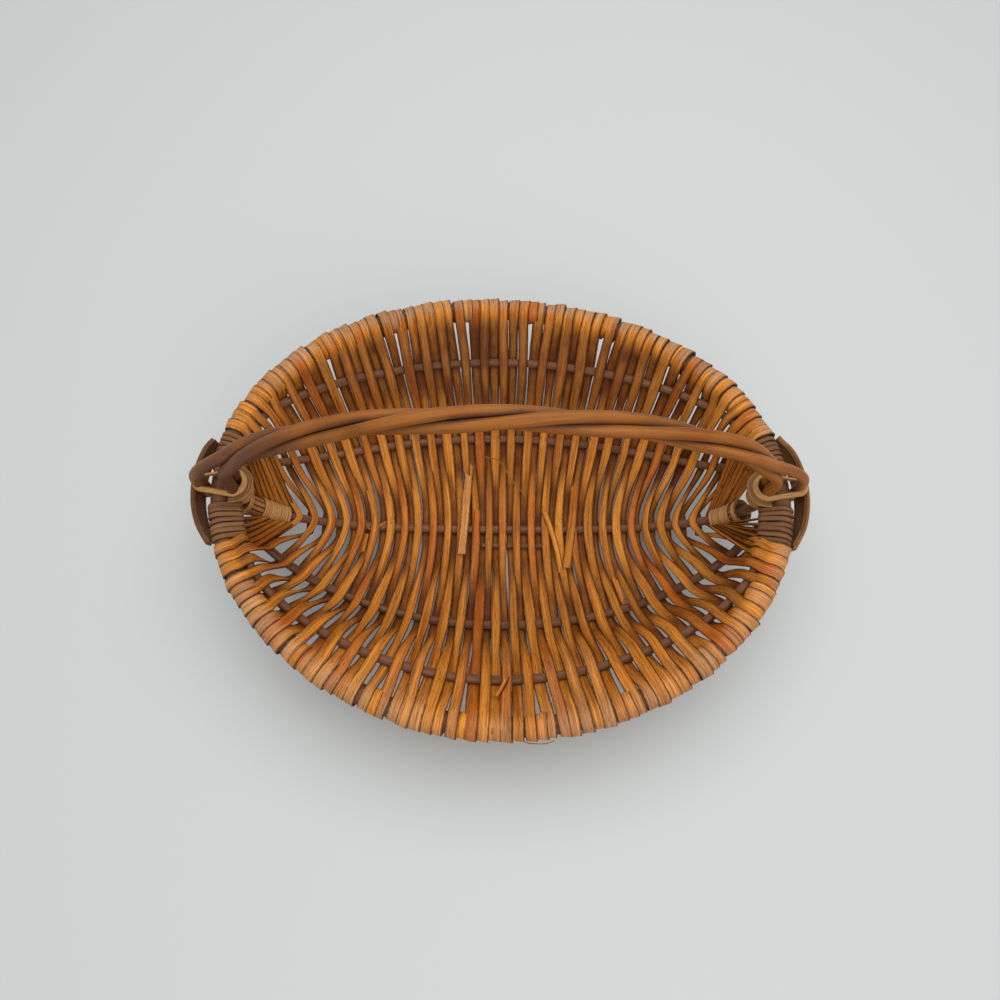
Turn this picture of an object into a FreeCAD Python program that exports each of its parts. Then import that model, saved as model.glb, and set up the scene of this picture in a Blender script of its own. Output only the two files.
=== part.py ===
import FreeCAD
import Part
import Sketcher
import math
import os
from collections import namedtuple

Vector = FreeCAD.Vector
Placement = FreeCAD.Placement
Rotation = FreeCAD.Rotation
UP = Vector(0, 0, 1)

# Driving dimensions: lengths in millimetres, angles in degrees, and three counts
SIZES = [
    ("rim_half_length", 185.0, "middle of the basket to the centre of the rim rod at the handle"),
    ("rim_half_width", 151.0, "middle of the basket to the centre of the rim rod at the side"),
    ("rim_turn", -3.0, "how far the oval rim is turned away from the line of the handle"),
    ("rim_dip", 21.0, "how far the sides of the rim hang below its ends"),
    ("rim_rod", 13.0, "diameter of the rim rod"),
    ("basket_depth", 87.0, "centre of the rim rod at its ends down to the centre of the keel rib"),
    ("rib_rod", 6.0, "diameter of the ribs"),
    ("base_rib_spread", 74.0, "keel rib to each base rib, at the middle of the basket"),
    ("base_rib_rise", 3.3, "how far the base ribs lie above the keel rib at the middle"),
    ("side_rib_spread", 119.0, "keel rib to each side rib, at the middle of the basket"),
    ("side_rib_rise", 45.0, "how far the side ribs lie above the keel rib at the middle"),
    ("splint_thickness", 0.9, "thickness of the weaving splints"),
    ("splint_width_keel", 4.5, "width of a weaver where it crosses the keel rib"),
    ("splint_width_rim", 6.1, "width of a weaver or a filler wrap on the rim"),
    ("crossings_per_half", 28, "how many times the weavers cross each half of the keel rib"),
    ("rim_turns_per_half", 32, "weavers and filler wraps side by side on half of one side of the rim"),
    ("weave_gap", 0.2, "room between a splint and the rod it bends round"),
    ("weave_gap_left", 36.0, "last weaver to the centre of the rim rod at the left end of the keel rib"),
    ("weave_gap_right", 36.0, "last weaver to the centre of the rim rod at the right end of the keel rib"),
    ("lashed_half_span", 39.0, "length of rim at each side of a handle foot kept for the lashings"),
    ("lashing_width", 3.1, "width of one turn of the end lashings"),
    ("lashing_pitch", 3.6, "one turn of the end lashings to the next"),
    ("ear_thickness", 3.6, "thickness of the ear bands"),
    ("ear_height", 15.0, "height of the ear bands"),
    ("ear_edge", 1.2, "rounding of the ear bands' long edges"),
    ("handle_rise", 108.0, "centre of the rim rod at its ends up to the centre of the handle's arch"),
    ("handle_strand", 7.0, "diameter of one rod of the twisted handle"),
    ("handle_third_turns", 5, "third turns that the handle's rods twist from foot to foot"),
    ("handle_foot_drop", 9.0, "how far the handle's feet reach below the centre of the rim rod"),
    ("fit_gap", 0.25, "room between pieces that are bound together"),
    ("binding_thickness", 2.5, "thickness of the foot bindings"),
    ("binding_height", 16.0, "height of the foot bindings"),
    ("roll_length_left", 42.0, "length of the left end roll along the keel rib"),
    ("roll_length_right", 24.0, "length of the right end roll along the keel rib"),
    ("roll_butt", 15.0, "diameter of an end roll at the handle's foot"),
    ("roll_tip", 11.0, "diameter of an end roll at its inner end"),
    ("splice_rod", 4.0, "diameter of the splice rod beside the keel rib"),
    ("splice_length", 46.0, "length of the splice rod"),
    ("splice_offset", 12.5, "keel rib to the splice rod"),
    ("sole_width", 16.0, "how much of each splint lies flat under the keel rib"),
]

# The twisted rods are drawn this much slimmer than their spacing, so that they lie clear of each other
STRAND_ROOM = 0.1

doc = FreeCAD.newDocument("splint_basket")
sheet = doc.addObject("Spreadsheet::Sheet", "Sizes")
for row, (alias, value, meaning) in enumerate(SIZES, start=1):
    sheet.set(f"A{row}", alias)
    sheet.set(f"B{row}", str(value))
    sheet.set(f"C{row}", meaning)
    sheet.setAlias(f"B{row}", alias)
doc.recompute()
size = {alias: float(sheet.get(alias)) for alias, value, meaning in SIZES}

rim_radius = size["rim_rod"] / 2
rib_radius = size["rib_rod"] / 2
splint = size["splint_thickness"]
keel_level = 0.0
rim_level = keel_level + size["basket_depth"]
pieces = []


def unit(vector):
    return vector / vector.Length


def mix(first, second, share):
    return first * (1 - share) + second * share


def flat(vector):
    return Vector(vector.x, vector.y, 0)


def bezier(first, second, third, last, share):
    rest = 1 - share
    near = first * rest**3 + second * (3 * rest**2 * share)
    far = third * (3 * rest * share**2) + last * share**3
    return near + far


def hermite(start, start_pull, end, end_pull, share):
    return bezier(start, start + start_pull / 3, end - end_pull / 3, end, share)


# The rim: an oval, turned a little from the handle, with sides that dip
RIM_STEPS = 720
turn_angle = math.radians(size["rim_turn"])
end_angle = math.atan(-size["rim_half_length"] / size["rim_half_width"] * math.tan(turn_angle))


def rim_point(angle):
    long_way = size["rim_half_length"] * math.cos(angle)
    wide_way = size["rim_half_width"] * math.sin(angle)
    x = long_way * math.cos(turn_angle) - wide_way * math.sin(turn_angle)
    y = long_way * math.sin(turn_angle) + wide_way * math.cos(turn_angle)
    return Vector(x, y, rim_level - size["rim_dip"] * math.sin(angle) ** 2)


def rim_tangent(angle):
    return unit(rim_point(angle + 0.001) - rim_point(angle - 0.001))


rim_angles = [end_angle + math.pi * step / RIM_STEPS for step in range(RIM_STEPS + 1)]
rim_run = [0.0]
for start, end in zip(rim_angles, rim_angles[1:]):
    rim_run.append(rim_run[-1] + (rim_point(end) - rim_point(start)).Length)
half_rim = rim_run[-1]


def angle_at(run):
    step = min(range(RIM_STEPS), key=lambda index: abs(rim_run[index] - run))
    step = step if rim_run[step] <= run else step - 1
    share = (run - rim_run[step]) / (rim_run[step + 1] - rim_run[step])
    return rim_angles[step] + share * math.pi / RIM_STEPS


def rim_angle(side, end, run):
    """Angle of the rim point a run away from one end, on the back (+1) or front (-1) side."""
    from_right = run if end > 0 else half_rim - run
    if side > 0:
        return angle_at(from_right)
    return angle_at(half_rim - from_right) + math.pi


def rim_frame(angle):
    """Centre of the rim rod, its run towards +X, the level way out and the square way up."""
    along = rim_tangent(angle)
    if math.sin(angle - end_angle) > 0:
        along = -along
    centre = rim_point(angle)
    out = unit(flat(along).cross(UP))
    if out.dot(flat(centre)) < 0:
        out = -out
    lift = unit(along.cross(out))
    return centre, along, out, lift if lift.z > 0 else -lift


# Rods are swept along chains of tangent arcs
def arc_between(start, way, end):
    chord = end - start
    side = way - chord * (way.dot(chord) / chord.dot(chord))
    if side.Length < 1e-7:
        return Part.LineSegment(start, end).toShape()
    lean = math.atan2(side.Length, way.dot(unit(chord)))
    middle = (start + end) / 2 + unit(side) * (chord.Length / 2 * math.tan(lean / 2))
    return Part.Arc(start, middle, end).toShape()


def arc_pair(start, start_way, end, end_way):
    chord = end - start
    ways = start_way + end_way
    spread = 2 * (1 - start_way.dot(end_way))
    if spread < 1e-9:
        reach = chord.dot(chord) / (2 * chord.dot(ways))
    else:
        reach = (math.sqrt(chord.dot(ways) ** 2 + spread * chord.dot(chord)) - chord.dot(ways)) / spread
    joint = (start + end + (start_way - end_way) * reach) / 2
    first = arc_between(start, start_way, joint)
    last = arc_between(end, -end_way, joint)
    return [first, last]


def arc_chain(points, closed=False):
    count = len(points)
    ways = []
    for index in range(count):
        before = points[index - 1] if closed or index > 0 else points[0]
        after = points[(index + 1) % count] if closed or index < count - 1 else points[-1]
        if closed or 0 < index < count - 1:
            gap_in = (points[index] - before).Length
            gap_out = (after - points[index]).Length
            way = (points[index] - before) * (gap_out / gap_in) + (after - points[index]) * (gap_in / gap_out)
        else:
            way = after - before
        ways.append(unit(way))
    if not closed:
        ways[0] = unit((points[1] - points[0]) * 2 - ways[1] * (points[1] - points[0]).Length)
        ways[-1] = unit((points[-1] - points[-2]) * 2 - ways[-2] * (points[-1] - points[-2]).Length)
    edges = []
    for index in range(count if closed else count - 1):
        after = (index + 1) % count
        edges += arc_pair(points[index], ways[index], points[after], ways[after])
    return Part.Wire(Part.__sortEdges__(edges)), ways


def swept_rod(label, points, radius_expression, closed=False):
    wire, ways = arc_chain(points, closed)
    path = doc.addObject("Part::Feature", label + "_path")
    path.Shape = wire
    section = doc.addObject("Part::Circle", label + "_section")
    section.setExpression("Radius", radius_expression)
    section.Placement = Placement(points[0], Rotation(UP, ways[0]))
    rod = doc.addObject("Part::Sweep", label)
    rod.Sections = [section]
    rod.Spine = (path, [f"Edge{index + 1}" for index in range(len(wire.Edges))])
    rod.Solid = True
    rod.Frenet = False
    pieces.append(rod)
    return rod


# Ribs: each half runs from the middle of the basket to one end of the rim
RIB_STEPS = 32
SIDE_FLAT_SHARE = 0.385
BASE_FLAT_SHARE = 0.5
KEEL_FLAT_SHARE = 0.57
SIDE_TAIL_RUN = 60.0
SIDE_TAIL_STEPS = 16
SIDE_TAIL_PULL = 36.0
SIDE_TAIL_LEAN = math.radians(10)
BASE_END_RUN = 24.0
BASE_END_LEAN = math.radians(35)
FOOT_ROOM = 2.2
foot_reach = size["handle_strand"] + STRAND_ROOM
foot_half_width = foot_reach + 2 * size["fit_gap"] + size["binding_thickness"] + FOOT_ROOM
tail_offset = rim_radius + rib_radius + size["fit_gap"]
lashing_reach = tail_offset + rib_radius + size["fit_gap"] + splint


def beside_rim(side, end, run, offset, lean):
    centre, along, out, lift = rim_frame(rim_angle(side, end, run))
    return centre - out * (offset * math.cos(lean)) - lift * (offset * math.sin(lean))


def side_rib_half(side, end):
    middle = Vector(0, side * size["side_rib_spread"], keel_level + size["side_rib_rise"])
    bend = middle + Vector(end * SIDE_FLAT_SHARE * size["rim_half_length"], 0, 0)
    tail_run = SIDE_TAIL_RUN - foot_half_width
    tail = [
        beside_rim(side, end, SIDE_TAIL_RUN - tail_run * step / SIDE_TAIL_STEPS, tail_offset, SIDE_TAIL_LEAN)
        for step in range(SIDE_TAIL_STEPS + 1)
    ]
    pull = unit(tail[0] - tail[1]) * SIDE_TAIL_PULL
    drop = Vector(0, 0, (tail[0].z - middle.z) * 0.4)
    bow = [bezier(middle, bend, tail[0] + pull - drop, tail[0], step / RIB_STEPS) for step in range(RIB_STEPS)]
    return bow + tail


def base_rib_half(side, end):
    middle = Vector(0, side * size["base_rib_spread"], keel_level + size["base_rib_rise"])
    bend = middle + Vector(end * BASE_FLAT_SHARE * size["rim_half_length"], 0, 0)
    last = beside_rim(side, end, BASE_END_RUN, lashing_reach + size["fit_gap"], BASE_END_LEAN)
    pull = Vector(
        last.x - end * 13,
        mix(last.y, middle.y, 0.36),
        mix(last.z, middle.z, 0.8),
    )
    return [bezier(middle, bend, pull, last, step / RIB_STEPS) for step in range(RIB_STEPS + 1)]


def keel_rib_half(end):
    middle = Vector(0, 0, keel_level)
    bend = Vector(end * KEEL_FLAT_SHARE * size["rim_half_length"], 0, keel_level)
    under_rim = rim_point(end_angle if end > 0 else end_angle + math.pi)
    last = under_rim - Vector(end * 1.2, 0, rim_radius + size["fit_gap"])
    pull = last - Vector(end * 10, 0, 0.85 * (last.z - keel_level))
    return [bezier(middle, bend, pull, last, step / RIB_STEPS) for step in range(RIB_STEPS + 1)]


def whole_rib(half_maker, *side):
    left = half_maker(*side, -1)
    right = half_maker(*side, 1)
    return left[::-1] + right[1:]


def all_ribs():
    return {
        "front_side_rib": whole_rib(side_rib_half, -1),
        "front_base_rib": whole_rib(base_rib_half, -1),
        "keel_rib": whole_rib(keel_rib_half),
        "back_base_rib": whole_rib(base_rib_half, 1),
        "back_side_rib": whole_rib(side_rib_half, 1),
    }


# Weavers: splints that cross the ribs and hook over the rim at both sides
HOOK_END = math.radians(-110)
PATH_STEPS = 48
KEEL_PULL = 0.75
RIM_PULL = 0.5
AIM_SPREAD = 0.8
LEAN_SLIMMING = 3.8
SPAN_STEPS = 24
woven_length = {
    -1: size["rim_half_length"] - size["weave_gap_left"],
    1: size["rim_half_length"] - size["weave_gap_right"],
}
half_run = half_rim / 2 - size["lashed_half_span"]
passes_per_half = int(size["crossings_per_half"])
slots_per_half = int(size["rim_turns_per_half"])
fillers_per_half = slots_per_half - passes_per_half
rim_pitch = half_run / slots_per_half
wrap_radius = rim_radius + size["weave_gap"] + splint / 2
rib_wrap_radius = rib_radius + size["weave_gap"] + splint / 2


# One crossing: its place on the keel rib, where it aims on the rim and where it hooks, front and back
Crossing = namedtuple("Crossing", "keel_x front_aim back_aim front_hook back_hook over_keel")


def fillers_before(slot):
    return (2 * slot * fillers_per_half + slots_per_half) // (2 * slots_per_half)


def is_filler(slot):
    return fillers_before(slot + 1) > fillers_before(slot)


def rib_at(points, x):
    """Point and run of a rib where it has this X, or nothing past its ends."""
    for start, end in zip(points, points[1:]):
        if start.x <= x < end.x:
            return mix(start, end, (x - start.x) / (end.x - start.x)), unit(end - start)
    return None


def rib_crossing(points, path, side):
    inside = None
    for place in path:
        found = rib_at(points, place.x)
        if found is None:
            return None
        beyond = side * (place.y - found[0].y)
        if beyond >= 0 and inside is not None:
            share = inside[1] / (inside[1] - beyond)
            return rib_at(points, mix(inside[0], place, share).x)
        inside = (place, beyond)
    return None


def pass_path(keel_x, angle, side):
    start = Vector(keel_x, 0, 0)
    centre, along, out, lift = rim_frame(angle)
    last = flat(centre)
    reach = (last - start).Length
    start_pull = Vector(0, side * reach * KEEL_PULL, 0)
    end_pull = out * (reach * RIM_PULL)
    return [hermite(start, start_pull, last, end_pull, step / PATH_STEPS) for step in range(PATH_STEPS + 1)]


def pass_rods(crossing):
    """Rods that one crossing meets, front to back: centre, run, side taken, and whether beside the rim."""
    keel_side = 1 if crossing.over_keel else -1
    keel = rib_at(ribs["keel_rib"], crossing.keel_x)
    rods = [(keel[0], keel[1], keel_side, False)]
    ways = [(-1, crossing.front_aim, crossing.front_hook), (1, crossing.back_aim, crossing.back_hook)]
    for side, aim, hook in ways:
        names = ("front_base_rib", "front_side_rib") if side < 0 else ("back_base_rib", "back_side_rib")
        path = pass_path(crossing.keel_x, aim, side)
        rim_centre = rim_point(hook)
        for order, name in enumerate(names, start=1):
            found = rib_crossing(ribs[name], path, side)
            if found is None:
                continue
            rib_side = keel_side if order % 2 == 0 else -keel_side
            room = (found[0] - rim_centre).Length - wrap_radius - rib_wrap_radius
            beside = room < 2 * splint
            rod = (found[0], found[1], 1 if beside else rib_side, beside)
            rods = rods + [rod] if side > 0 else [rod] + rods
    return rods


# One place on a splint: its middle, the way across it, the way square to it, its width, its run
Place = namedtuple("Place", "middle across square width way")


def corner(place, up_side, across_side):
    return place.middle + place.square * (up_side * splint / 2) + place.across * (across_side * place.width / 2)


def span_poles(before, after, up_side, across_side):
    pull = (after.middle - before.middle).Length / 3
    start = corner(before, up_side, across_side)
    end = corner(after, up_side, across_side)
    return [start, start + before.way * pull, end - after.way * pull, end]


def span_edge(before, after, up_side, across_side):
    curve = Part.BezierCurve()
    curve.setPoles(span_poles(before, after, up_side, across_side))
    return curve.toShape()


def hook_places(angle, inner_point):
    """Three places round the rim: where a splint from this point meets it, half way, and the tip."""
    centre, along, out, lift = rim_frame(angle)
    level = inner_point - centre
    reach = math.hypot(level.dot(out), level.dot(lift))
    way_in = math.atan2(-level.dot(lift), -level.dot(out)) + math.asin(wrap_radius / reach)
    first = way_in + math.pi / 2
    places = []
    for turn in (first, (first + HOOK_END) / 2, HOOK_END):
        square = out * math.cos(turn) + lift * math.sin(turn)
        way = out * math.sin(turn) - lift * math.cos(turn)
        places.append(Place(centre + square * wrap_radius, along, square, size["splint_width_rim"], way))
    return places


def weaver_places(crossing):
    """Places where one crossing touches the rods, front to back, and its two hooks."""
    rods = pass_rods(crossing)
    centres = [rim_point(crossing.front_hook)] + [rod[0] for rod in rods] + [rim_point(crossing.back_hook)]
    half_width = max(abs(centres[0].y), abs(centres[-1].y))
    lean = math.atan2(abs(centres[-1].x - crossing.keel_x), half_width)
    touches = []
    for index, (centre, along, side, beside) in enumerate(rods, start=1):
        way = unit(centres[index + 1] - centres[index]) + unit(centres[index] - centres[index - 1])
        way = unit(way - along * way.dot(along))
        square = along.cross(way)
        share = abs(centre.y) / half_width
        width = size["splint_width_keel"] * (1 - share) + size["splint_width_rim"] * share
        width = width * math.cos(lean) ** LEAN_SLIMMING
        bend = rib_wrap_radius + (size["fit_gap"] if beside else 0)
        offset = square * (side * bend)
        middle = centre + offset
        if not beside:
            level_along = unit(flat(along))
            middle = middle - along * (offset.dot(level_along) / along.dot(level_along))
        touch = Place(middle, along, square, width, way)
        if side < 0 and abs(centre.y) < rib_radius:
            step = way * (size["sole_width"] / 2)
            touches += [touch._replace(middle=middle - step), touch._replace(middle=middle + step)]
        else:
            touches.append(touch)
    front = hook_places(crossing.front_hook, touches[0].middle)
    back = hook_places(crossing.back_hook, touches[-1].middle)
    front = [place._replace(way=-place.way) for place in front]
    return front, touches, back


STRIP_CORNERS = [(1, 1), (1, -1), (-1, -1), (-1, 1)]


def strip_faces(edges):
    return [Part.makeRuledSurface(first, second) for first, second in zip(edges, edges[1:] + edges[:1])]


def end_face(place):
    corners = [corner(place, *key) for key in STRIP_CORNERS]
    return Part.Face(Part.makePolygon(corners + corners[:1]))


def flat_faces(before, after):
    faces = []
    for first, second in zip(STRIP_CORNERS, STRIP_CORNERS[1:] + STRIP_CORNERS[:1]):
        ring = [corner(before, *first), corner(before, *second), corner(after, *second), corner(after, *first)]
        faces.append(Part.Face(Part.makePolygon(ring + ring[:1])))
    return faces


def splint_solid(front, touches, back):
    """A thin strip: a hook, spans from touch to touch, and the other hook."""
    faces = []
    for meeting, half_way, tip in (front, back):
        rings = [[corner(place, *key) for place in (meeting, half_way, tip)] for key in STRIP_CORNERS]
        faces += strip_faces([Part.Arc(*ring).toShape() for ring in rings])
        faces.append(end_face(tip))
    places = [front[0]] + touches + [back[0]]
    for before, after in zip(places, places[1:]):
        if (before.way - after.way).Length < 1e-9:
            faces += flat_faces(before, after)
        else:
            faces += strip_faces([span_edge(before, after, *key) for key in STRIP_CORNERS])
    shell = Part.Shell(faces)
    shell.sewShape()
    return Part.makeSolid(shell)


def lowest_of(front, touches, back):
    places = [front[0]] + touches + [back[0]]
    heights = []
    for before, after in zip(places, places[1:]):
        for across_side in (-1, 1):
            poles = span_poles(before, after, -1, across_side)
            heights += [bezier(*poles, step / SPAN_STEPS).z for step in range(SPAN_STEPS + 1)]
    return min(heights)


def code_piece(label, solids):
    piece = doc.addObject("Part::Feature", label)
    piece.Shape = Part.makeCompound(solids) if len(solids) > 1 else solids[0]
    pieces.append(piece)
    return piece


passes = []
filler_runs = {-1: [], 1: []}
for end in (-1, 1):
    crossing = 0
    for slot in range(slots_per_half):
        run = half_rim / 2 - (slot + 0.5) * rim_pitch
        if is_filler(slot):
            for side in (-1, 1):
                filler_runs[side].append((end, run))
            continue
        hooks = [rim_angle(side, end, run) for side in (-1, 1)]
        even_run = half_rim / 2 - (crossing + 0.5) * half_run / passes_per_half
        aim_run = run * (1 - AIM_SPREAD) + even_run * AIM_SPREAD
        aims = [rim_angle(side, end, aim_run) for side in (-1, 1)]
        keel_x = end * (crossing + 0.5) * woven_length[end] / passes_per_half
        passes.append(Crossing(keel_x, *aims, *hooks, (crossing % 2 == 0) == (end > 0)))
        crossing += 1
passes.sort(key=lambda crossing: crossing.keel_x)

# The lowest splint stands on the ground
ribs = all_ribs()
keel_level = -min(lowest_of(*weaver_places(crossing)) for crossing in passes)
rim_level = keel_level + size["basket_depth"]
ribs = all_ribs()

RIM_ARCS = 36
rim_points = [rim_point(2 * math.pi * step / RIM_ARCS) for step in range(RIM_ARCS)]
swept_rod("rim_hoop", rim_points, "Sizes.rim_rod / 2", closed=True)
for label, points in ribs.items():
    kept_points = points[:1] + points[2:-2:2] + points[-1:]
    swept_rod(label, kept_points, "Sizes.rib_rod / 2")

splice = doc.addObject("Part::Cylinder", "keel_splice_rod")
splice.setExpression("Radius", "Sizes.splice_rod / 2")
splice.setExpression("Height", "Sizes.splice_length")
splice_start = Vector(10 - size["splice_length"] / 2, -size["splice_offset"], keel_level)
splice.Placement = Placement(splice_start, Rotation(UP, Vector(1, 0, 0)))
pieces.append(splice)

for number in range(0, len(passes), 2):
    solids = [splint_solid(*weaver_places(crossing)) for crossing in passes[number:number + 2]]
    code_piece(f"weaver_{number // 2 + 1:02d}", solids)

# Handle: three rods twisted round one arch, whose feet stand astride the rim, two inside and one outside
STRAND_COUNT = 3
STRAND_STEPS = 60
ARCH_STEPS = 360
FOOT_STRAIGHT = 12.0
FOOT_SPREAD = 42.0
foot_offset = rim_radius + size["fit_gap"] + size["handle_strand"] / 2
inner_foot_x = rim_point(end_angle).x - foot_offset
outer_foot_x = rim_point(end_angle).x + foot_offset
foot_x = (2 * inner_foot_x + outer_foot_x) / 3


def arch_point(share):
    angle = math.pi * share
    x = -foot_x * math.cos(angle)
    return Vector(x, 0, rim_level + size["handle_rise"] * math.sin(angle))


foot_drop = Vector(0, 0, size["handle_foot_drop"])
arch = [arch_point(step / ARCH_STEPS) for step in range(ARCH_STEPS + 1)]
arch = [arch[0] - foot_drop] + arch + [arch[-1] - foot_drop]
arch_run = [0.0]
for start, end in zip(arch, arch[1:]):
    arch_run.append(arch_run[-1] + (end - start).Length)


def arch_at(run):
    index = max(step for step in range(len(arch) - 1) if arch_run[step] <= run)
    share = (run - arch_run[index]) / (arch_run[index + 1] - arch_run[index])
    before = arch[max(index - 1, 0)]
    after = arch[min(index + 2, len(arch) - 1)]
    return mix(arch[index], arch[index + 1], share), unit(after - before)


twisted_run = arch_run[-1] - 2 * FOOT_SPREAD


def strand_twist(run, number):
    """Angle of one rod round the arch. A rod comes down outermost where the feet spread, at both ends."""
    third_turns = size["handle_third_turns"] * (run - FOOT_SPREAD) / twisted_run
    return math.pi - 2 * math.pi * (third_turns + number) / STRAND_COUNT


def foot_place(end, number):
    """Plan place of one rod's foot: the outermost rod goes outside the rim."""
    twist = strand_twist(FOOT_SPREAD if end < 0 else arch_run[-1] - FOOT_SPREAD, number)
    if math.cos(twist) < -0.9:
        return Vector(end * outer_foot_x, 0, 0)
    return Vector(end * inner_foot_x, math.copysign(foot_reach / 2, math.sin(twist)), 0)


def strand_point(run, number):
    centre, way = arch_at(run)
    twist = strand_twist(run, number)
    across = Vector(0, 1, 0)
    inward = across.cross(way)
    twisted = centre + (inward * math.cos(twist) + across * math.sin(twist)) * strand_offset
    end = -1 if centre.x < 0 else 1
    away = run if end < 0 else arch_run[-1] - run
    share = (away - size["handle_foot_drop"] - FOOT_STRAIGHT) / FOOT_SPREAD
    share = min(max(share, 0.0), 1.0)
    standing = foot_place(end, number) + UP * centre.z
    return mix(standing, twisted, share * share * (3 - 2 * share))


strand_offset = (size["handle_strand"] + STRAND_ROOM) / math.sqrt(3)
strand_runs = [arch_run[-1] * step / STRAND_STEPS for step in range(STRAND_STEPS)] + [arch_run[-1] - 1e-6]
for number in range(STRAND_COUNT):
    strand = [strand_point(run, number) for run in strand_runs]
    swept_rod(f"handle_strand_{number + 1}", strand, "Sizes.handle_strand / 2")


# Filler wraps and end lashings: closed turns round the rim
def loop_face(wide_centre, wide, narrow_centre, narrow, axis):
    """Flat face inside a belt round two circles."""
    across = unit(narrow_centre - wide_centre)
    square = axis.cross(across)
    lean = math.acos((wide - narrow) / (narrow_centre - wide_centre).Length)
    corners = []
    for centre, radius in ((wide_centre, wide), (narrow_centre, narrow)):
        for turn in (lean, -lean):
            corners.append(centre + (across * math.cos(turn) + square * math.sin(turn)) * radius)
    far_wide = wide_centre - across * wide
    far_narrow = narrow_centre + across * narrow
    edges = [
        Part.Arc(corners[0], far_wide, corners[1]).toShape(),
        Part.LineSegment(corners[1], corners[3]).toShape(),
        Part.Arc(corners[3], far_narrow, corners[2]).toShape(),
        Part.LineSegment(corners[2], corners[0]).toShape(),
    ]
    return Part.Face(Part.Wire(edges))


def rim_turn(side, end, run, width):
    """One turn of splint round the rim, and round the side rib's tail where that lies along it."""
    centre, along, out, lift = rim_frame(rim_angle(side, end, run))
    start = centre - along * (width / 2)
    room = size["fit_gap"]
    if run - width / 2 > SIDE_TAIL_RUN:
        outside = Part.makeCylinder(rim_radius + room + splint, width, start, along)
        return outside.cut(Part.makeCylinder(rim_radius + room, width, start, along))
    tail = beside_rim(side, end, run, tail_offset, SIDE_TAIL_LEAN) - centre
    tail_start = start + tail - along * tail.dot(along)
    inside = loop_face(start, rim_radius + room, tail_start, rib_radius + room, along)
    outside = loop_face(start, rim_radius + room + splint, tail_start, rib_radius + room + splint, along)
    return outside.extrude(along * width).cut(inside.extrude(along * width))


for side, label in ((-1, "rim_fillers_front"), (1, "rim_fillers_back")):
    turns = [rim_turn(side, end, run, size["splint_width_rim"]) for end, run in filler_runs[side]]
    if turns:
        code_piece(label, turns)

first_turn = foot_half_width + size["fit_gap"] + size["lashing_width"] / 2
last_turn = size["lashed_half_span"] - size["lashing_width"] / 2
turn_count = int((last_turn - first_turn) / size["lashing_pitch"]) + 1
for end, word in ((-1, "left"), (1, "right")):
    turns = []
    for side in (-1, 1):
        for number in range(turn_count):
            run = first_turn + number * size["lashing_pitch"]
            turns.append(rim_turn(side, end, run, size["lashing_width"]))
    code_piece(f"{word}_end_lashing", turns)


# Ear bands: a bent strip outside the lashings at each end
def origin_part(body, role):
    return next(feature for feature in body.Origin.OriginFeatures if feature.Role == role)


def ear_band(label, end):
    touch_run = size["lashed_half_span"] - size["lashing_width"]
    reach = rim_radius + 2 * size["fit_gap"] + splint
    tips = []
    for side in (-1, 1):
        centre, along, out, lift = rim_frame(rim_angle(side, end, touch_run))
        tips.append(flat(centre + out * reach))
    half_chord = (tips[1] - tips[0]).Length / 2
    across = unit(tips[1] - tips[0])
    outward = across.cross(UP)
    outward = outward if outward.x * end > 0 else -outward
    chord_middle = (tips[0] + tips[1]) / 2
    strand_edge = Vector(end * (outer_foot_x + size["handle_strand"] / 2 + size["fit_gap"]), 0, 0)
    bulge = (strand_edge - chord_middle).dot(outward)
    bend = (half_chord**2 + bulge**2) / (2 * bulge)
    middle = chord_middle + outward * (bulge - bend)

    body = doc.addObject("PartDesign::Body", label)
    section = body.newObject("Sketcher::SketchObject", label + "_section")
    section.AttachmentSupport = [(origin_part(body, "XZ_Plane"), "")]
    section.MapMode = "FlatFace"
    far = bend + size["ear_thickness"]
    half = size["ear_height"] / 2
    corners = [Vector(bend, -half, 0), Vector(far, -half, 0), Vector(far, half, 0), Vector(bend, half, 0)]
    for start, stop in zip(corners, corners[1:] + corners[:1]):
        section.addGeometry(Part.LineSegment(start, stop), False)
    for line in range(4):
        section.addConstraint(Sketcher.Constraint("Coincident", line, 2, (line + 1) % 4, 1))
    section.addConstraint(Sketcher.Constraint("Horizontal", 0))
    section.addConstraint(Sketcher.Constraint("Horizontal", 2))
    section.addConstraint(Sketcher.Constraint("Vertical", 3))
    section.addConstraint(Sketcher.Constraint("Symmetric", 1, 1, 1, 2, -1))
    section.addConstraint(Sketcher.Constraint("DistanceX", -1, 1, 0, 1, bend))
    sizes = [
        ("DistanceX", (0, 1, 0, 2), size["ear_thickness"], "ear_thickness"),
        ("DistanceY", (1, 1, 1, 2), size["ear_height"], "ear_height"),
    ]
    for kind, places, value, alias in sizes:
        number = section.addConstraint(Sketcher.Constraint(kind, *places, value))
        section.renameConstraint(number, alias)
        section.setExpression(f"Constraints.{alias}", f"Sizes.{alias}")
    bent = body.newObject("PartDesign::Revolution", label + "_bend")
    bent.Profile = section
    bent.ReferenceAxis = (origin_part(body, "Z_Axis"), [""])
    bent.Midplane = True
    bent.Angle = 2 * math.degrees(math.asin(half_chord / bend))
    doc.recompute()
    rounded = body.newObject("PartDesign::Fillet", label + "_edges")
    long_edges = [
        f"Edge{index}"
        for index, edge in enumerate(bent.Shape.Edges, start=1)
        if edge.Length > half_chord
    ]
    rounded.Base = (bent, long_edges)
    rounded.setExpression("Radius", "Sizes.ear_edge")
    body.Tip = rounded
    turn = math.degrees(math.atan2(outward.y, outward.x))
    body.Placement = Placement(middle + UP * rim_level, Rotation(UP, turn))
    pieces.append(body)


ear_band("left_ear_band", -1)
ear_band("right_ear_band", 1)


# Foot bindings: a splint collar round the inner side of each foot, with two legs to the rim
LEG_SHORTFALL = 1.2


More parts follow.
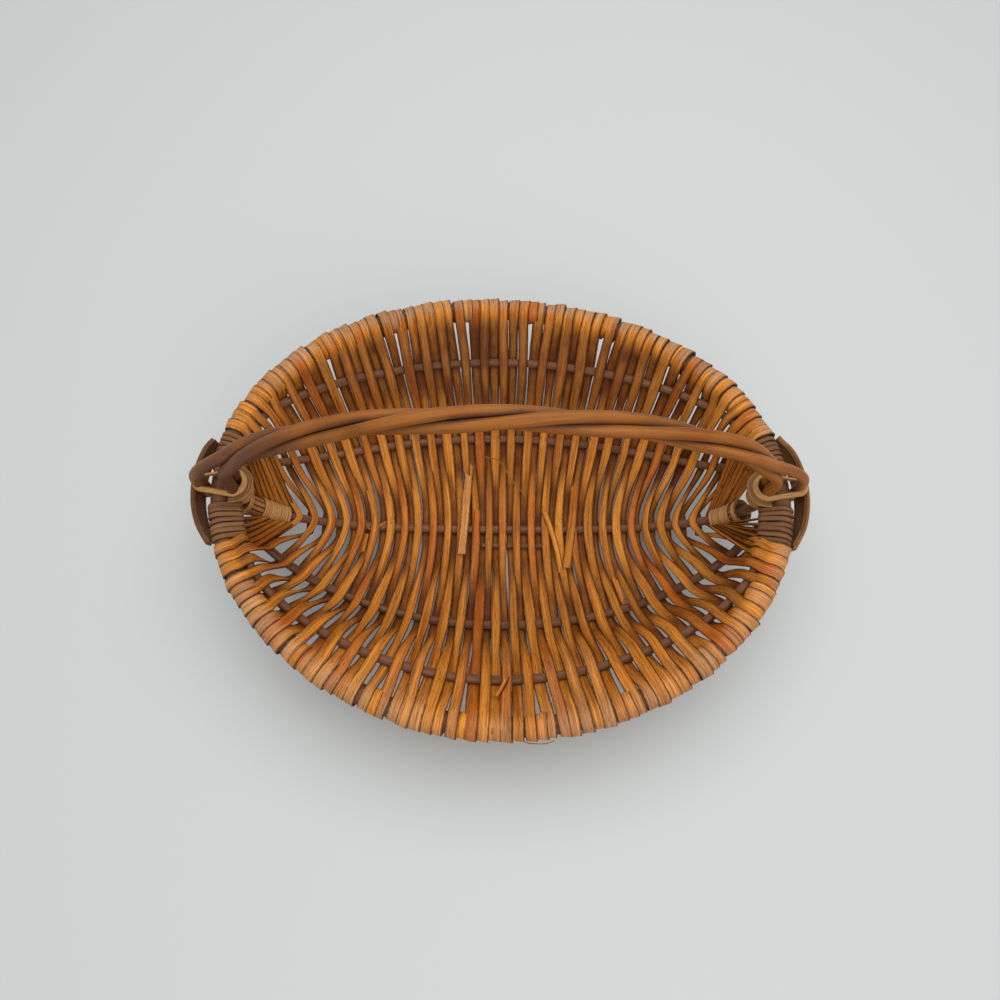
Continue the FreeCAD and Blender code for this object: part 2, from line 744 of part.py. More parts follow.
def bound_primitive(kind, label, expressions, place):
    thing = doc.addObject(kind, label)
    for name, expression in expressions.items():
        thing.setExpression(name, expression)
    thing.Placement = place
    return thing


def foot_binding(label, end):
    inner = f"(Sizes.handle_strand + {STRAND_ROOM} + Sizes.fit_gap)"
    outer = f"({inner} + Sizes.binding_thickness)"
    height = "Sizes.binding_height"
    leg = f"Sizes.handle_strand / 2 + Sizes.fit_gap - {LEG_SHORTFALL}"
    bottom = rim_level - size["binding_height"] * 0.72
    inward = Rotation(UP, 90 if end > 0 else -90)
    place = Placement(Vector(end * inner_foot_x, 0, bottom), inward)
    half_turn = {"Height": height, "Angle": "180 deg"}
    shell = bound_primitive("Part::Cylinder", label + "_outside", {"Radius": outer, **half_turn}, place)
    hollow = bound_primitive("Part::Cylinder", label + "_inside", {"Radius": inner, **half_turn}, place)
    collar = doc.addObject("Part::Cut", label + "_collar")
    collar.Base = shell
    collar.Tool = hollow
    legs = []
    inner_size = foot_reach + size["fit_gap"]
    leg_size = size["handle_strand"] / 2 + size["fit_gap"] - LEG_SHORTFALL
    for side, word in ((-1, "front"), (1, "back")):
        near = inner_size if side > 0 else -inner_size - size["binding_thickness"]
        start_x = inner_foot_x if end > 0 else -inner_foot_x - leg_size
        corner = Vector(start_x, near, bottom)
        lengths = {"Length": leg, "Width": "Sizes.binding_thickness", "Height": height}
        legs.append(bound_primitive("Part::Box", f"{label}_{word}_leg", lengths, Placement(corner, Rotation())))
    joined = doc.addObject("Part::MultiFuse", label)
    joined.Shapes = [collar] + legs
    joined.Refine = True
    pieces.append(joined)


foot_binding("left_foot_binding", -1)
foot_binding("right_foot_binding", 1)


# End rolls: a tapered wrapped sleeve that follows the keel rib inside each end
ROLL_CLEARANCE = 6.0
ROLL_STEPS = 6


def swept_shape(label, path, sections):
    swept = doc.addObject("Part::Sweep", label)
    swept.Sections = sections
    swept.Spine = (path, [f"Edge{index + 1}" for index in range(len(path.Shape.Edges))])
    swept.Solid = True
    swept.Frenet = False
    return swept


def section_circle(label, place, way, radius_expression):
    circle = doc.addObject("Part::Circle", label)
    circle.setExpression("Radius", radius_expression)
    circle.Placement = Placement(place, Rotation(UP, way))
    return circle


def along_keel(end, start_x, length):
    """Points along the keel rib from one place on it towards its end."""
    start = rib_at(ribs["keel_rib"], end * start_x)[0]
    beyond = [point for point in ribs["keel_rib"] if point.x * end > start_x]
    points = [start] + sorted(beyond, key=lambda point: point.x * end)
    runs = [0.0]
    for first, second in zip(points, points[1:]):
        runs.append(runs[-1] + (second - first).Length)
    places = []
    for step in range(ROLL_STEPS + 1):
        run = length * step / ROLL_STEPS
        index = max(number for number in range(len(runs) - 1) if runs[number] <= run)
        share = (run - runs[index]) / (runs[index + 1] - runs[index])
        places.append(mix(points[index], points[index + 1], share))
    return places


def end_roll(label, end, length):
    points = along_keel(end, woven_length[end] + ROLL_CLEARANCE, length)
    wire, ways = arc_chain(points)
    path = doc.addObject("Part::Feature", label + "_path")
    path.Shape = wire
    tip = section_circle(label + "_tip", points[0], ways[0], "Sizes.roll_tip / 2")
    butt = section_circle(label + "_butt", points[-1], ways[-1], "Sizes.roll_butt / 2")
    bore = section_circle(label + "_bore", points[0], ways[0], "Sizes.rib_rod / 2 + 2 * Sizes.fit_gap")
    sleeve = doc.addObject("Part::Cut", label)
    sleeve.Base = swept_shape(label + "_outside", path, [tip, butt])
    sleeve.Tool = swept_shape(label + "_inside", path, [bore])
    pieces.append(sleeve)


end_roll("left_end_roll", -1, size["roll_length_left"])
end_roll("right_end_roll", 1, size["roll_length_right"])

doc.recompute()
for thing in doc.Objects:
    if "Invalid" in thing.State or "Error" in thing.State:
        raise RuntimeError(f"{thing.Label} did not build")
os.makedirs("parts", exist_ok=True)
for piece in pieces:
    if piece.Shape.isNull() or not piece.Shape.isValid():
        raise RuntimeError(f"{piece.Label} has no sound shape")
    piece.Shape.exportStep(f"parts/{piece.Label}.step")
    print(piece.Label, len(piece.Shape.Solids), round(piece.Shape.Volume), piece.Shape.BoundBox)
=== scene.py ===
# %% [markdown]
# # A splint basket with a twisted handle
# This lesson dresses the plain solids of an oval basket. Five thin rods run from end to end under a stout
# rim, flat splints cross them over and under, and three rods twist together into the handle.
# The frame is loaded first, because every piece below takes its place from it.

# %% Load the frame
import bmesh
import bpy
import math
import numpy as np
from mathutils import Matrix, Vector


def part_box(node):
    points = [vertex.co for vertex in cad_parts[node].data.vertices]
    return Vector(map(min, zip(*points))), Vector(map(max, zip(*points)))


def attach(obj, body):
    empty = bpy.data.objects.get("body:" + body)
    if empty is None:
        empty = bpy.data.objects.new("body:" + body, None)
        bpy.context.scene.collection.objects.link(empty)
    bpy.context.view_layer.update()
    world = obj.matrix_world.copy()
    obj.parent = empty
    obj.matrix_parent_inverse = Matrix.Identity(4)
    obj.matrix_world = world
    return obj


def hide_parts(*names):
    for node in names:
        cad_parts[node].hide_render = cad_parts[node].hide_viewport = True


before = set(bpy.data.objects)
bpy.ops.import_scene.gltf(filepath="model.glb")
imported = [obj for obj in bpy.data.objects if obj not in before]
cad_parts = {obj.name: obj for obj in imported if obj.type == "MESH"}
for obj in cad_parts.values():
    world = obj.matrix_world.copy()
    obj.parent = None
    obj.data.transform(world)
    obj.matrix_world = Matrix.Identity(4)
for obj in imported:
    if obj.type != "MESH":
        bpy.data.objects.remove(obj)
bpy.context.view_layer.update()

# %% [markdown]
# ## Working in millimetres
# A basket maker thinks in millimetres, and Blender in metres, so all shapes are worked out in millimetres
# and scaled once, when a mesh is made. Small helpers for directions and smooth random drift come first:
# nothing on a hand-made basket is quite straight, and the seed makes every run give the same basket.

# %% Helpers
MM = 0.001
UP = np.array([0.0, 0.0, 1.0])
BACK = np.array([0.0, 1.0, 0.0])
chance = np.random.default_rng(19)


def vec(x, y, z):
    return np.array([x, y, z], float)


def unit(vector):
    return vector / np.linalg.norm(vector, axis=-1, keepdims=True)


def level(vector):
    return vector * np.array([1.0, 1.0, 0.0])


def swing(first, second, turns):
    """Ways that turn from the first way towards the second."""
    return first * np.cos(turns)[:, None] + second * np.sin(turns)[:, None]


def bezier(first, second, third, last, share):
    share = np.asarray(share)[..., None]
    rest = 1 - share
    return first * rest**3 + 3 * second * rest**2 * share + 3 * third * rest * share**2 + last * share**3


def run_of(points):
    steps = np.linalg.norm(np.diff(points, axis=0), axis=1)
    return np.concatenate([[0.0], np.cumsum(steps)])


def ways_along(points):
    return unit(np.gradient(points, axis=0))


def at_runs(places, line, line_runs):
    return np.stack([np.interp(places, line_runs, line[:, axis]) for axis in range(3)], axis=-1)


def ease(low, high, value):
    share = np.clip((np.asarray(value, float) - low) / (high - low), 0, 1)
    return share * share * (3 - 2 * share)


def drift(runs, spacing):
    """Smooth random values from -1 to 1 along a run."""
    place = np.asarray(runs, float) / spacing
    knots = chance.uniform(-1, 1, int(place.max()) + 3)
    before = np.floor(place).astype(int)
    share = ease(0, 1, place - before)
    return knots[before] * (1 - share) + knots[before + 1] * share


print("helpers ready")

# %% [markdown]
# ## The camera
# The basket is seen from its front and from high up. The angle and the distance were worked out from where
# the rim, the ribs and the handle lie in the picture, for a rim of the size that the solids have.
# A camera's own axes are right, up and backward, so its matrix is written straight from those directions.

# %% Camera
RIB_RADIUS = 3.0
BASKET_DEPTH = 87.0
KEEL_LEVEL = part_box("keel_rib")[0].z / MM + RIB_RADIUS
RIM_LEVEL = KEEL_LEVEL + BASKET_DEPTH
VIEW_HEIGHT = math.radians(70.0)
VIEW_ROLL = 0.0087
VIEW_BACK = 192
VIEW_ABOVE_RIM = 507
FOCAL_SHARE = 0.818


def put(name, data):
    made = bpy.data.objects.new(name, data)
    bpy.context.scene.collection.objects.link(made)
    return made


look = vec(0, math.cos(VIEW_HEIGHT), -math.sin(VIEW_HEIGHT))
overhead = vec(0, math.sin(VIEW_HEIGHT), math.cos(VIEW_HEIGHT))
rightward = vec(1, 0, 0)
rolled_right = math.cos(VIEW_ROLL) * rightward + math.sin(VIEW_ROLL) * overhead
rolled_up = -math.sin(VIEW_ROLL) * rightward + math.cos(VIEW_ROLL) * overhead
lens = bpy.data.cameras.new("camera")
lens.sensor_width = 36.0
lens.lens = FOCAL_SHARE * lens.sensor_width
camera = put("camera", lens)
axes = Matrix(np.stack([rolled_right, rolled_up, -look], axis=1).tolist())
camera_place = (0, -VIEW_BACK * MM, (RIM_LEVEL + VIEW_ABOVE_RIM) * MM)
camera.matrix_world = Matrix.Translation(camera_place) @ axes.to_4x4()
bpy.context.scene.camera = camera
print("camera at", [round(v, 3) for v in camera_place], "lens", round(lens.lens, 1))

# %% [markdown]
# ## Wood grain, shared by every finish
# Splints and rods are split from the same kind of wood, so one node group makes the grain for all of them.
# It reads a grain coordinate that each mesh carries: millimetres along the wood, across it and through it,
# as if every strip were still straight. Noise that is stretched along the wood then gives streaks, fine
# fibres and short dark flecks that follow every bend. Object coordinates would cut across the bends.

# %% Node helpers


def add_node(tree, kind, inputs=None, **settings):
    made = tree.nodes.new(kind)
    for name, value in settings.items():
        setattr(made, name, value)
    for key, value in (inputs or {}).items():
        if isinstance(value, bpy.types.NodeSocket):
            tree.links.new(value, made.inputs[key])
        else:
            made.inputs[key].default_value = value
    return made


def math_node(tree, operation, first, second=None, clamp=False):
    inputs = {0: first} if second is None else {0: first, 1: second}
    return add_node(tree, "ShaderNodeMath", inputs, operation=operation, use_clamp=clamp).outputs[0]


def band(tree, value, low, high):
    inputs = {"Value": value, "From Min": low, "From Max": high}
    return add_node(tree, "ShaderNodeMapRange", inputs, interpolation_type="SMOOTHSTEP").outputs["Result"]


def blend(tree, share, first, second):
    inputs = {0: share}
    for key, colour in ((6, first), (7, second)):
        inputs[key] = (*colour, 1.0) if isinstance(colour, tuple) else colour
    return add_node(tree, "ShaderNodeMix", inputs, data_type="RGBA").outputs[2]


def new_group(name, inputs, outputs):
    tree = bpy.data.node_groups.new(name, "ShaderNodeTree")
    for label, kind in inputs.items():
        tree.interface.new_socket(label, in_out="INPUT", socket_type=kind)
    for label in outputs:
        tree.interface.new_socket(label, in_out="OUTPUT", socket_type="NodeSocketFloat")
    return tree, tree.nodes.new("NodeGroupInput"), tree.nodes.new("NodeGroupOutput")


print("node helpers ready")

# %% Grain group
FLECK_WIDTH = 0.9
LINE_LEVEL = 0.52
grain_group, grain_in, grain_out = new_group(
    "split wood grain",
    {"Grain Place": "NodeSocketVector", "Streak Width": "NodeSocketFloat", "Fibre Width": "NodeSocketFloat"},
    ["Streaks", "Fibres", "Lines", "Flecks", "Height"],
)


def grain_noise(stretch, width, detail):
    """Noise that changes slowly along the wood and quickly across it."""
    finer = math_node(grain_group, "DIVIDE", 1.0, width)
    scale = add_node(grain_group, "ShaderNodeCombineXYZ", {0: stretch, 1: finer, 2: finer}).outputs[0]
    inputs = {0: grain_in.outputs["Grain Place"], 1: scale}
    place = add_node(grain_group, "ShaderNodeVectorMath", inputs, operation="MULTIPLY").outputs[0]
    inputs = {"Vector": place, "Scale": 1.0, "Detail": detail}
    return add_node(grain_group, "ShaderNodeTexNoise", inputs).outputs["Fac"]


streaks = band(grain_group, grain_noise(0.012, grain_in.outputs["Streak Width"], 2.0), 0.3, 0.7)
fibre_noise = grain_noise(0.02, grain_in.outputs["Fibre Width"], 3.0)
fibres = band(grain_group, fibre_noise, 0.28, 0.72)
line_distance = math_node(grain_group, "SUBTRACT", fibre_noise, LINE_LEVEL)
line_distance = math_node(grain_group, "ABSOLUTE", line_distance)
lines = math_node(grain_group, "SUBTRACT", 1.0, band(grain_group, line_distance, 0.0, 0.035))
flecks = band(grain_group, grain_noise(0.16, FLECK_WIDTH, 2.0), 0.62, 0.74)
raised = math_node(grain_group, "SUBTRACT", fibres, math_node(grain_group, "MULTIPLY", lines, 0.6))
height = math_node(grain_group, "ADD", raised, math_node(grain_group, "MULTIPLY", streaks, 0.7))
for key, value in enumerate((streaks, fibres, lines, flecks, height)):
    grain_group.links.new(value, grain_out.inputs[key])
print("grain group:", len(grain_group.nodes), "nodes")

# %% [markdown]
# ## Painted edge shade and wear
# Shade is painted along the edges of every strip, where splints lie edge to edge, and fine specks break it
# up.
# Years of use leave a rubbed, paler crown where hands and goods pass. A second group turns the mesh's edge
# value and slow noise into these masks.

# %% Wear and edge shade group
SPECK_SCALE = 420.0
wear_and_shade_group, wear_and_shade_in, wear_and_shade_out = new_group(
    "wear and edge shade",
    {"Edge": "NodeSocketFloat", "Patch Size": "NodeSocketFloat"},
    ["Dirt", "Rubbed", "Patches"],
)
object_place = add_node(wear_and_shade_group, "ShaderNodeTexCoord").outputs["Object"]


def wear_and_shade_noise(scale, detail):
    inputs = {"Vector": object_place, "Scale": scale, "Detail": detail}
    return add_node(wear_and_shade_group, "ShaderNodeTexNoise", inputs).outputs["Fac"]


patch_scale = math_node(wear_and_shade_group, "DIVIDE", 1.0, wear_and_shade_in.outputs["Patch Size"])
patches = band(wear_and_shade_group, wear_and_shade_noise(patch_scale, 3.0), 0.35, 0.68)
specks = math_node(wear_and_shade_group, "MULTIPLY", wear_and_shade_noise(SPECK_SCALE, 2.0), 0.3)
# painted shade along each strip's edges, where splints lie edge to edge, broken up by fine specks
dirt = band(wear_and_shade_group, math_node(wear_and_shade_group, "ADD", wear_and_shade_in.outputs["Edge"], specks), 0.8, 1.12)
crown = math_node(wear_and_shade_group, "SUBTRACT", 1.0, band(wear_and_shade_group, wear_and_shade_in.outputs["Edge"], 0.2, 0.9))
rubbed = math_node(wear_and_shade_group, "MULTIPLY", crown, patches)
for key, value in enumerate((dirt, rubbed, patches)):
    wear_and_shade_group.links.new(value, wear_and_shade_out.inputs[key])
print("wear group:", len(wear_and_shade_group.nodes), "nodes")

# %% [markdown]
# ## The finishes
# Each finish mixes its own colours with the shared grain, wear and painted edge shade. The mesh attribute
# "tone" picks a colour for each strip, because splints from different trees never match.
# "stain" is high where a strip is a darker purplish brown: real stain in places, and painted
# shade under rods, in the handle's grooves, on the ear bands' inner face and in part on the back and end
# walls.
# Below nought a strip turns tan: faded on the rim, and painted lighter as if lit on the front wall. The
# colours are written as they should look in plain light. A table gives what is common to all woods, and each
# finish changes some of it.

# %% Finish maker
PLAIN_WOOD = {
    "streak": 2.6, "fibre": 0.7, "patch": 0.03, "warmth": 0.75, "paleness": 0.45, "fade_and_lit": 0.75, "stain": 0.8,
    "fibre_depth": 0.35, "rub": 0.3, "line_depth": 0.4, "fleck_depth": 0.5, "dirt": 0.7, "smooth": 0.42,
    "rough": 0.62, "bump": 0.5, "coat": 0.0,
}
PATCH_STAIN = 0.18
DARK_ROUGHNESS = 0.2
BUMP_DEPTH = 0.0002
COAT_ROUGHNESS = 0.3
SHINE = 0.14


def wood_finish(name, pale, deep, warm, stain_and_shade_colour, marks_and_edge_shade_colour, faded_and_lit_colour=None, **changes):
    """Grain pale and deep, odd strips warm; stain and painted shade; dark grain marks and painted edge
    shade.
    """
    values = {**PLAIN_WOOD, **changes}
    material = bpy.data.materials.new(name)
    material.use_nodes = True
    tree = material.node_tree
    shader = tree.nodes["Principled BSDF"]

    def read(label, output="Fac"):
        return add_node(tree, "ShaderNodeAttribute", attribute_name=label).outputs[output]

    def part_of(mask, label, clamp=False):
        return math_node(tree, "MULTIPLY", mask, values[label], clamp)

    inputs = {0: read("grain", "Vector"), 1: values["streak"], 2: values["fibre"]}
    grain = add_node(tree, "ShaderNodeGroup", inputs, node_tree=grain_group).outputs
    inputs = {"Edge": read("edge"), "Patch Size": values["patch"]}
    wear_and_shade = add_node(tree, "ShaderNodeGroup", inputs, node_tree=wear_and_shade_group).outputs
    tone = read("tone")
    stain_and_light_value = read("stain")
    colour = blend(tree, grain["Streaks"], pale, deep)
    colour = blend(tree, part_of(band(tree, tone, 0.5, 1.0), "warmth"), colour, warm)
    colour = blend(tree, part_of(band(tree, tone, 0.45, 0.0), "paleness"), colour, pale)
    # below nought the colour turns tan: faded on the rim, painted light on the front wall
    colour = blend(tree, part_of(band(tree, stain_and_light_value, 0.0, -1.0), "fade_and_lit"), colour, faded_and_lit_colour or pale)
    # above nought the colour darkens: real stain, and painted shade under rods, in grooves and on shaded
    # faces
    stain = math_node(tree, "ADD", stain_and_light_value, math_node(tree, "MULTIPLY", wear_and_shade["Patches"], PATCH_STAIN))
    colour = blend(tree, part_of(stain, "stain", clamp=True), colour, stain_and_shade_colour)
    colour = blend(tree, part_of(grain["Fibres"], "fibre_depth"), colour, deep)
    colour = blend(tree, part_of(wear_and_shade["Rubbed"], "rub"), colour, pale)
    flecked = part_of(grain["Flecks"], "fleck_depth")
    dark = math_node(tree, "MAXIMUM", part_of(grain["Lines"], "line_depth"), flecked)
    # painted shade along the edges joins the dark grain lines and flecks
    dirty = math_node(tree, "MAXIMUM", dark, part_of(wear_and_shade["Dirt"], "dirt"))
    tree.links.new(blend(tree, dirty, colour, marks_and_edge_shade_colour), shader.inputs["Base Color"])
    inputs = {"Value": grain["Fibres"], "To Min": values["smooth"], "To Max": values["rough"]}
    gloss = add_node(tree, "ShaderNodeMapRange", inputs).outputs["Result"]
    rougher = math_node(tree, "ADD", gloss, math_node(tree, "MULTIPLY", dark, DARK_ROUGHNESS))
    tree.links.new(rougher, shader.inputs["Roughness"])
    inputs = {"Height": grain["Height"], "Strength": values["bump"], "Distance": BUMP_DEPTH}
    tree.links.new(add_node(tree, "ShaderNodeBump", inputs).outputs["Normal"], shader.inputs["Normal"])
    shader.inputs["Coat Weight"].default_value = values["coat"]
    shader.inputs["Coat Roughness"].default_value = COAT_ROUGHNESS
    shader.inputs["Specular IOR Level"].default_value = SHINE
    return material


print("finish maker:", len(PLAIN_WOOD), "values")

# %% Six finishes
splint_wood = wood_finish(
    "honey_splint", (0.95, 0.362, 0.048), (0.37, 0.1, 0.009), (0.56, 0.105, 0.008), (0.085, 0.024, 0.009),
    (0.024, 0.007, 0.003), faded_and_lit_colour=(0.48, 0.315, 0.185), line_depth=0.75, fibre=0.55, fibre_depth=0.5,
    fleck_depth=0.6, bump=0.7, dirt=0.85,
)
rod_wood = wood_finish(
    "dark_rod", (0.25, 0.112, 0.052), (0.092, 0.036, 0.019), (0.22, 0.082, 0.03), (0.06, 0.028, 0.02),
    (0.02, 0.009, 0.007), streak=3.4, rub=0.35,
)
handle_wood = wood_finish(
    "handle_rod", (0.385, 0.132, 0.02), (0.148, 0.041, 0.006), (0.32, 0.085, 0.009), (0.105, 0.05, 0.03),
    (0.04, 0.015, 0.006), streak=4.0, fibre=1.3, line_depth=0.2, fleck_depth=0.15, rub=0.5, smooth=0.4,
    rough=0.55, coat=0.05, bump=0.35, dirt=0.4, stain=1.0,
)
lashing_wood = wood_finish(
    "lashing_splint", (0.31, 0.155, 0.064), (0.16, 0.068, 0.025), (0.26, 0.095, 0.028),
    (0.09, 0.044, 0.026), (0.02, 0.009, 0.005), streak=2.0, rub=0.35,
)
ear_wood = wood_finish(
    "ear_wood", (0.46, 0.22, 0.066), (0.26, 0.102, 0.026), (0.36, 0.125, 0.03), (0.105, 0.044, 0.019),
    (0.035, 0.014, 0.006), streak=1.6, fibre=0.5, line_depth=0.65,
)
cup_wood = wood_finish(
    "cup_splint", (0.66, 0.35, 0.125), (0.42, 0.19, 0.06), (0.52, 0.2, 0.055), (0.16, 0.07, 0.032),
    (0.035, 0.015, 0.007), streak=1.4, fibre=0.5, line_depth=0.65, rub=0.4,
)
woods = (splint_wood, rod_wood, handle_wood, lashing_wood, ear_wood, cup_wood)
print("finishes:", [wood.name for wood in woods])

# %% [markdown]
# ## Making a mesh
# Strips and rods are all lofts: a closed section is set at many places along a line, and its rings are
# joined with quads. Writing the loft by hand, instead of bevelling a curve, lets every ring carry its grain
# coordinate, and lets widths, twist and thickness drift along the strip.

# %% Loft maker
LOOKS = ("edge", "tone", "stain")
LONG_MOVE = 400
MOVE = 60


def loft(rings, grain, edge=0.0, tone=0.5, stain=0.0, closed=False):
    """A skin over rings of points, with the values that the finishes read."""
    count, around = rings.shape[:2]
    numbers = np.arange(count * around).reshape(count, around)
    faces = []
    for step in range(count if closed else count - 1):
        first, second = numbers[step], numbers[(step + 1) % count]
        faces += np.stack([first, np.roll(first, -1), np.roll(second, -1), second], axis=1).tolist()
    if not closed:
        faces += [numbers[0][::-1].tolist(), numbers[-1].tolist()]
    spread = np.ones((count, around))
    long_move = chance.uniform(0, LONG_MOVE, 3) * vec(1, 0, 0)
    move = chance.uniform(0, MOVE, 3)
    return {
        "points": rings.reshape(-1, 3),
        "faces": faces,
        "grain": grain.reshape(-1, 3) + long_move + move,
        "edge": (spread * edge).ravel(),
        "tone": (spread * tone).ravel(),
        "stain": (spread * (stain[:, None] if np.ndim(stain) == 1 else stain)).ravel(),
    }


print("values on each point: grain,", ", ".join(LOOKS))

# %% Piece maker
TABLE_ROOM = 0.02
SHARP_ANGLE = math.radians(50)


def make_piece(name, forms, finish, slot, *nodes):
    """One named object from its forms; it rides on the basket and stands for the named solids."""
    points = np.concatenate([form["points"] for form in forms])
    points[:, 2] = np.maximum(points[:, 2], TABLE_ROOM)
    faces = []
    start = 0
    for form in forms:
        faces += [[start + corner for corner in face] for face in form["faces"]]
        start += len(form["points"])
    mesh = bpy.data.meshes.new(name)
    mesh.from_pydata((points * MM).tolist(), [], faces)
    shell = bmesh.new()
    shell.from_mesh(mesh)
    bmesh.ops.recalc_face_normals(shell, faces=shell.faces)
    shell.to_mesh(mesh)
    shell.free()
    for label in LOOKS:
        values = np.concatenate([form[label] for form in forms]).astype(np.float32)
        mesh.attributes.new(label, "FLOAT", "POINT").data.foreach_set("value", values)
    values = np.concatenate([form["grain"] for form in forms]).astype(np.float32)
    mesh.attributes.new("grain", "FLOAT_VECTOR", "POINT").data.foreach_set("vector", values.ravel())
    mesh.polygons.foreach_set("use_smooth", [True] * len(mesh.polygons))
    mesh.set_sharp_from_angle(angle=SHARP_ANGLE)
    mesh.materials.append(finish)
    piece = put(name, mesh)
    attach(piece, "root")
    if nodes:
        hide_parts(*nodes)


print("pieces stay", TABLE_ROOM, "mm above the table")

# %% [markdown]
# ## The line of the rim
# The rim is one stout rod bent to an oval. Its long axis is turned a little from the handle, and its sides
# hang lower than its ends. Everything on the rim is placed by a run along it from one end, so the oval's
# length is measured once in small steps.

# %% Rim line
RIM_HALF_LENGTH = 185.0
RIM_HALF_WIDTH = 151.0
RIM_TURN = math.radians(-3.0)
RIM_DIP = 21.0
RIM_RADIUS = 6.5
FIT = 0.25
SPLINT = 0.9
end_angle = math.atan(-RIM_HALF_LENGTH / RIM_HALF_WIDTH * math.tan(RIM_TURN))


def rim_point(angle):
    angle = np.asarray(angle, float)
    long_way = RIM_HALF_LENGTH * np.cos(angle)
    wide_way = RIM_HALF_WIDTH * np.sin(angle)
    x = long_way * math.cos(RIM_TURN) - wide_way * math.sin(RIM_TURN)
    y = long_way * math.sin(RIM_TURN) + wide_way * math.cos(RIM_TURN)
    return np.stack([x, y, RIM_LEVEL - RIM_DIP * np.sin(angle) ** 2], axis=-1)


rim_angles = end_angle + np.linspace(0, math.pi, 721)
rim_runs = run_of(rim_point(rim_angles))
half_rim = rim_runs[-1]
print("rim is", round(2 * half_rim), "mm round")

# %% Places on the rim


def rim_angle(side, end, run):
    """Angle of the rim point a run away from one end, on the back (+1) or the front (-1)."""
    from_right = run if end > 0 else half_rim - run
    if side > 0:
        return np.interp(from_right, rim_runs, rim_angles)
    return np.interp(half_rim - from_right, rim_runs, rim_angles) + math.pi


def rim_frame(angle):
    """Centre of the rim rod, its run towards +X, the level way out and the square way up."""
    along = unit(rim_point(angle + 0.001) - rim_point(angle - 0.001))
    if math.sin(angle - end_angle) > 0:
        along = -along
    centre = rim_point(angle)
    out = unit(np.cross(level(along), UP))
    if out @ level(centre) < 0:
        out = -out
    lift = unit(np.cross(along, out))
    return centre, along, out, lift if lift[2] > 0 else -lift


print("right end of the rim at", rim_point(end_angle).round(1))

# %% [markdown]
# ## Rods
# The rim, the ribs and the handle are shoots with the bark rubbed off. A shoot is never a perfect cylinder:
# its thickness drifts, it is a little oval, and small swellings mark where leaves grew. The rod maker lofts
# a ring of points along a line and can add all three.

# %% Rod maker
ROD_WANDER = ((0.035, 18.0), (0.03, 55.0))
ROD_OVAL = 0.035
KNOT_SWELLING = 0.07
KNOT_LENGTH = 2.2
GROOVE_SHADE = 1.1


def rod_form(points, radius, reference, around=16, closed=False, knots=0.0, stain=0.0, groove=None, **looks):
    """A round rod along points; where a groove's way is given, the side that faces it is painted with shade.
    """
    runs = run_of(points)
    ways = ways_along(points)
    if closed:
        ways = unit(np.roll(points, -1, axis=0) - np.roll(points, 1, axis=0))
    side = unit(np.cross(ways, reference))
    rise = np.cross(side, ways)
    turn = np.linspace(0, 2 * math.pi, around, endpoint=False)
    wander = sum(share * drift(runs, spacing) for share, spacing in ROD_WANDER)
    drifted = 1 + wander * (not closed)
    if knots:
        for place in np.arange(chance.uniform(10, knots), runs[-1], knots):
            drifted = drifted + KNOT_SWELLING * np.exp(-(((runs - place) / KNOT_LENGTH) ** 2))
    oval = 1 + ROD_OVAL * np.cos(2 * (turn[None] + 2.0 * drift(runs, 60.0)[:, None]))
    reach = np.broadcast_to(radius, len(points))[:, None] * drifted[:, None] * oval
    across, through = reach * np.cos(turn), reach * np.sin(turn)
    rings = points[:, None] + side[:, None] * across[..., None] + rise[:, None] * through[..., None]
    grain = np.stack([runs[:, None] + 0 * reach, across, through], axis=-1)
    # painted shade on the side that faces the groove between rods
    if groove is not None:
        facing = np.sum(unit(rings - points[:, None]) * groove[:, None], axis=-1)
        stain = np.reshape(stain, (-1, 1)) + GROOVE_SHADE * ease(-0.15, 0.55, facing)
    return loft(rings, grain, closed=closed, stain=stain, **looks)


hoop_angles = np.linspace(0, 2 * math.pi, 360, endpoint=False)
hoop = rod_form(rim_point(hoop_angles), RIM_RADIUS, UP, around=20, closed=True, tone=0.2, stain=0.15)
make_piece("rim_rod", [hoop], rod_wood, "dark_rods", "rim_hoop")
print("rim rod:", len(hoop["points"]), "points")

# %% [markdown]
# ## The ribs
# Five thin rods give the basket its bowl. The keel rib lies lowest in the middle, a base rib lies to each
# side of it, and the two side ribs run close under the rim and end along it. Each half of a rib is a cubic
# curve that leaves the middle level and rises to the end. The splice is a short rod beside the keel.

# %% Rib halves
SIDE_RIB_SPREAD = 119
SIDE_RIB_RISE = 45
SIDE_TAIL_RUN = 60.0
SIDE_TAIL_LEAN = math.radians(10)
BASE_RIB_SPREAD = 74
BASE_RIB_RISE = 3.3
BASE_END_RUN = 24.0
BASE_END_LEAN = math.radians(35)
STRAND = 7.0
BINDING = 2.5
BINDING_ROOM = 2.2
foot_reach = STRAND + 0.1
foot_half_width = foot_reach + 2 * FIT + BINDING + BINDING_ROOM
tail_offset = RIM_RADIUS + RIB_RADIUS + FIT
lashing_reach = tail_offset + RIB_RADIUS + FIT + SPLINT
half_steps = np.linspace(0, 1, 97)


def beside_rim(side, end, run, offset, lean):
    centre, along, out, lift = rim_frame(rim_angle(side, end, run))
    return centre - out * (offset * math.cos(lean)) - lift * (offset * math.sin(lean))


def side_rib_half(side, end):
    middle = vec(0, side * SIDE_RIB_SPREAD, KEEL_LEVEL + SIDE_RIB_RISE)
    bend = middle + vec(end * 0.385 * RIM_HALF_LENGTH, 0, 0)
    tail_runs = np.linspace(SIDE_TAIL_RUN, foot_half_width, 17)
    tail = np.array([beside_rim(side, end, run, tail_offset, SIDE_TAIL_LEAN) for run in tail_runs])
    pull = unit(tail[0] - tail[1]) * 36 - vec(0, 0, (tail[0][2] - middle[2]) * 0.4)
    return np.concatenate([bezier(middle, bend, tail[0] + pull, tail[0], half_steps[:-1]), tail])


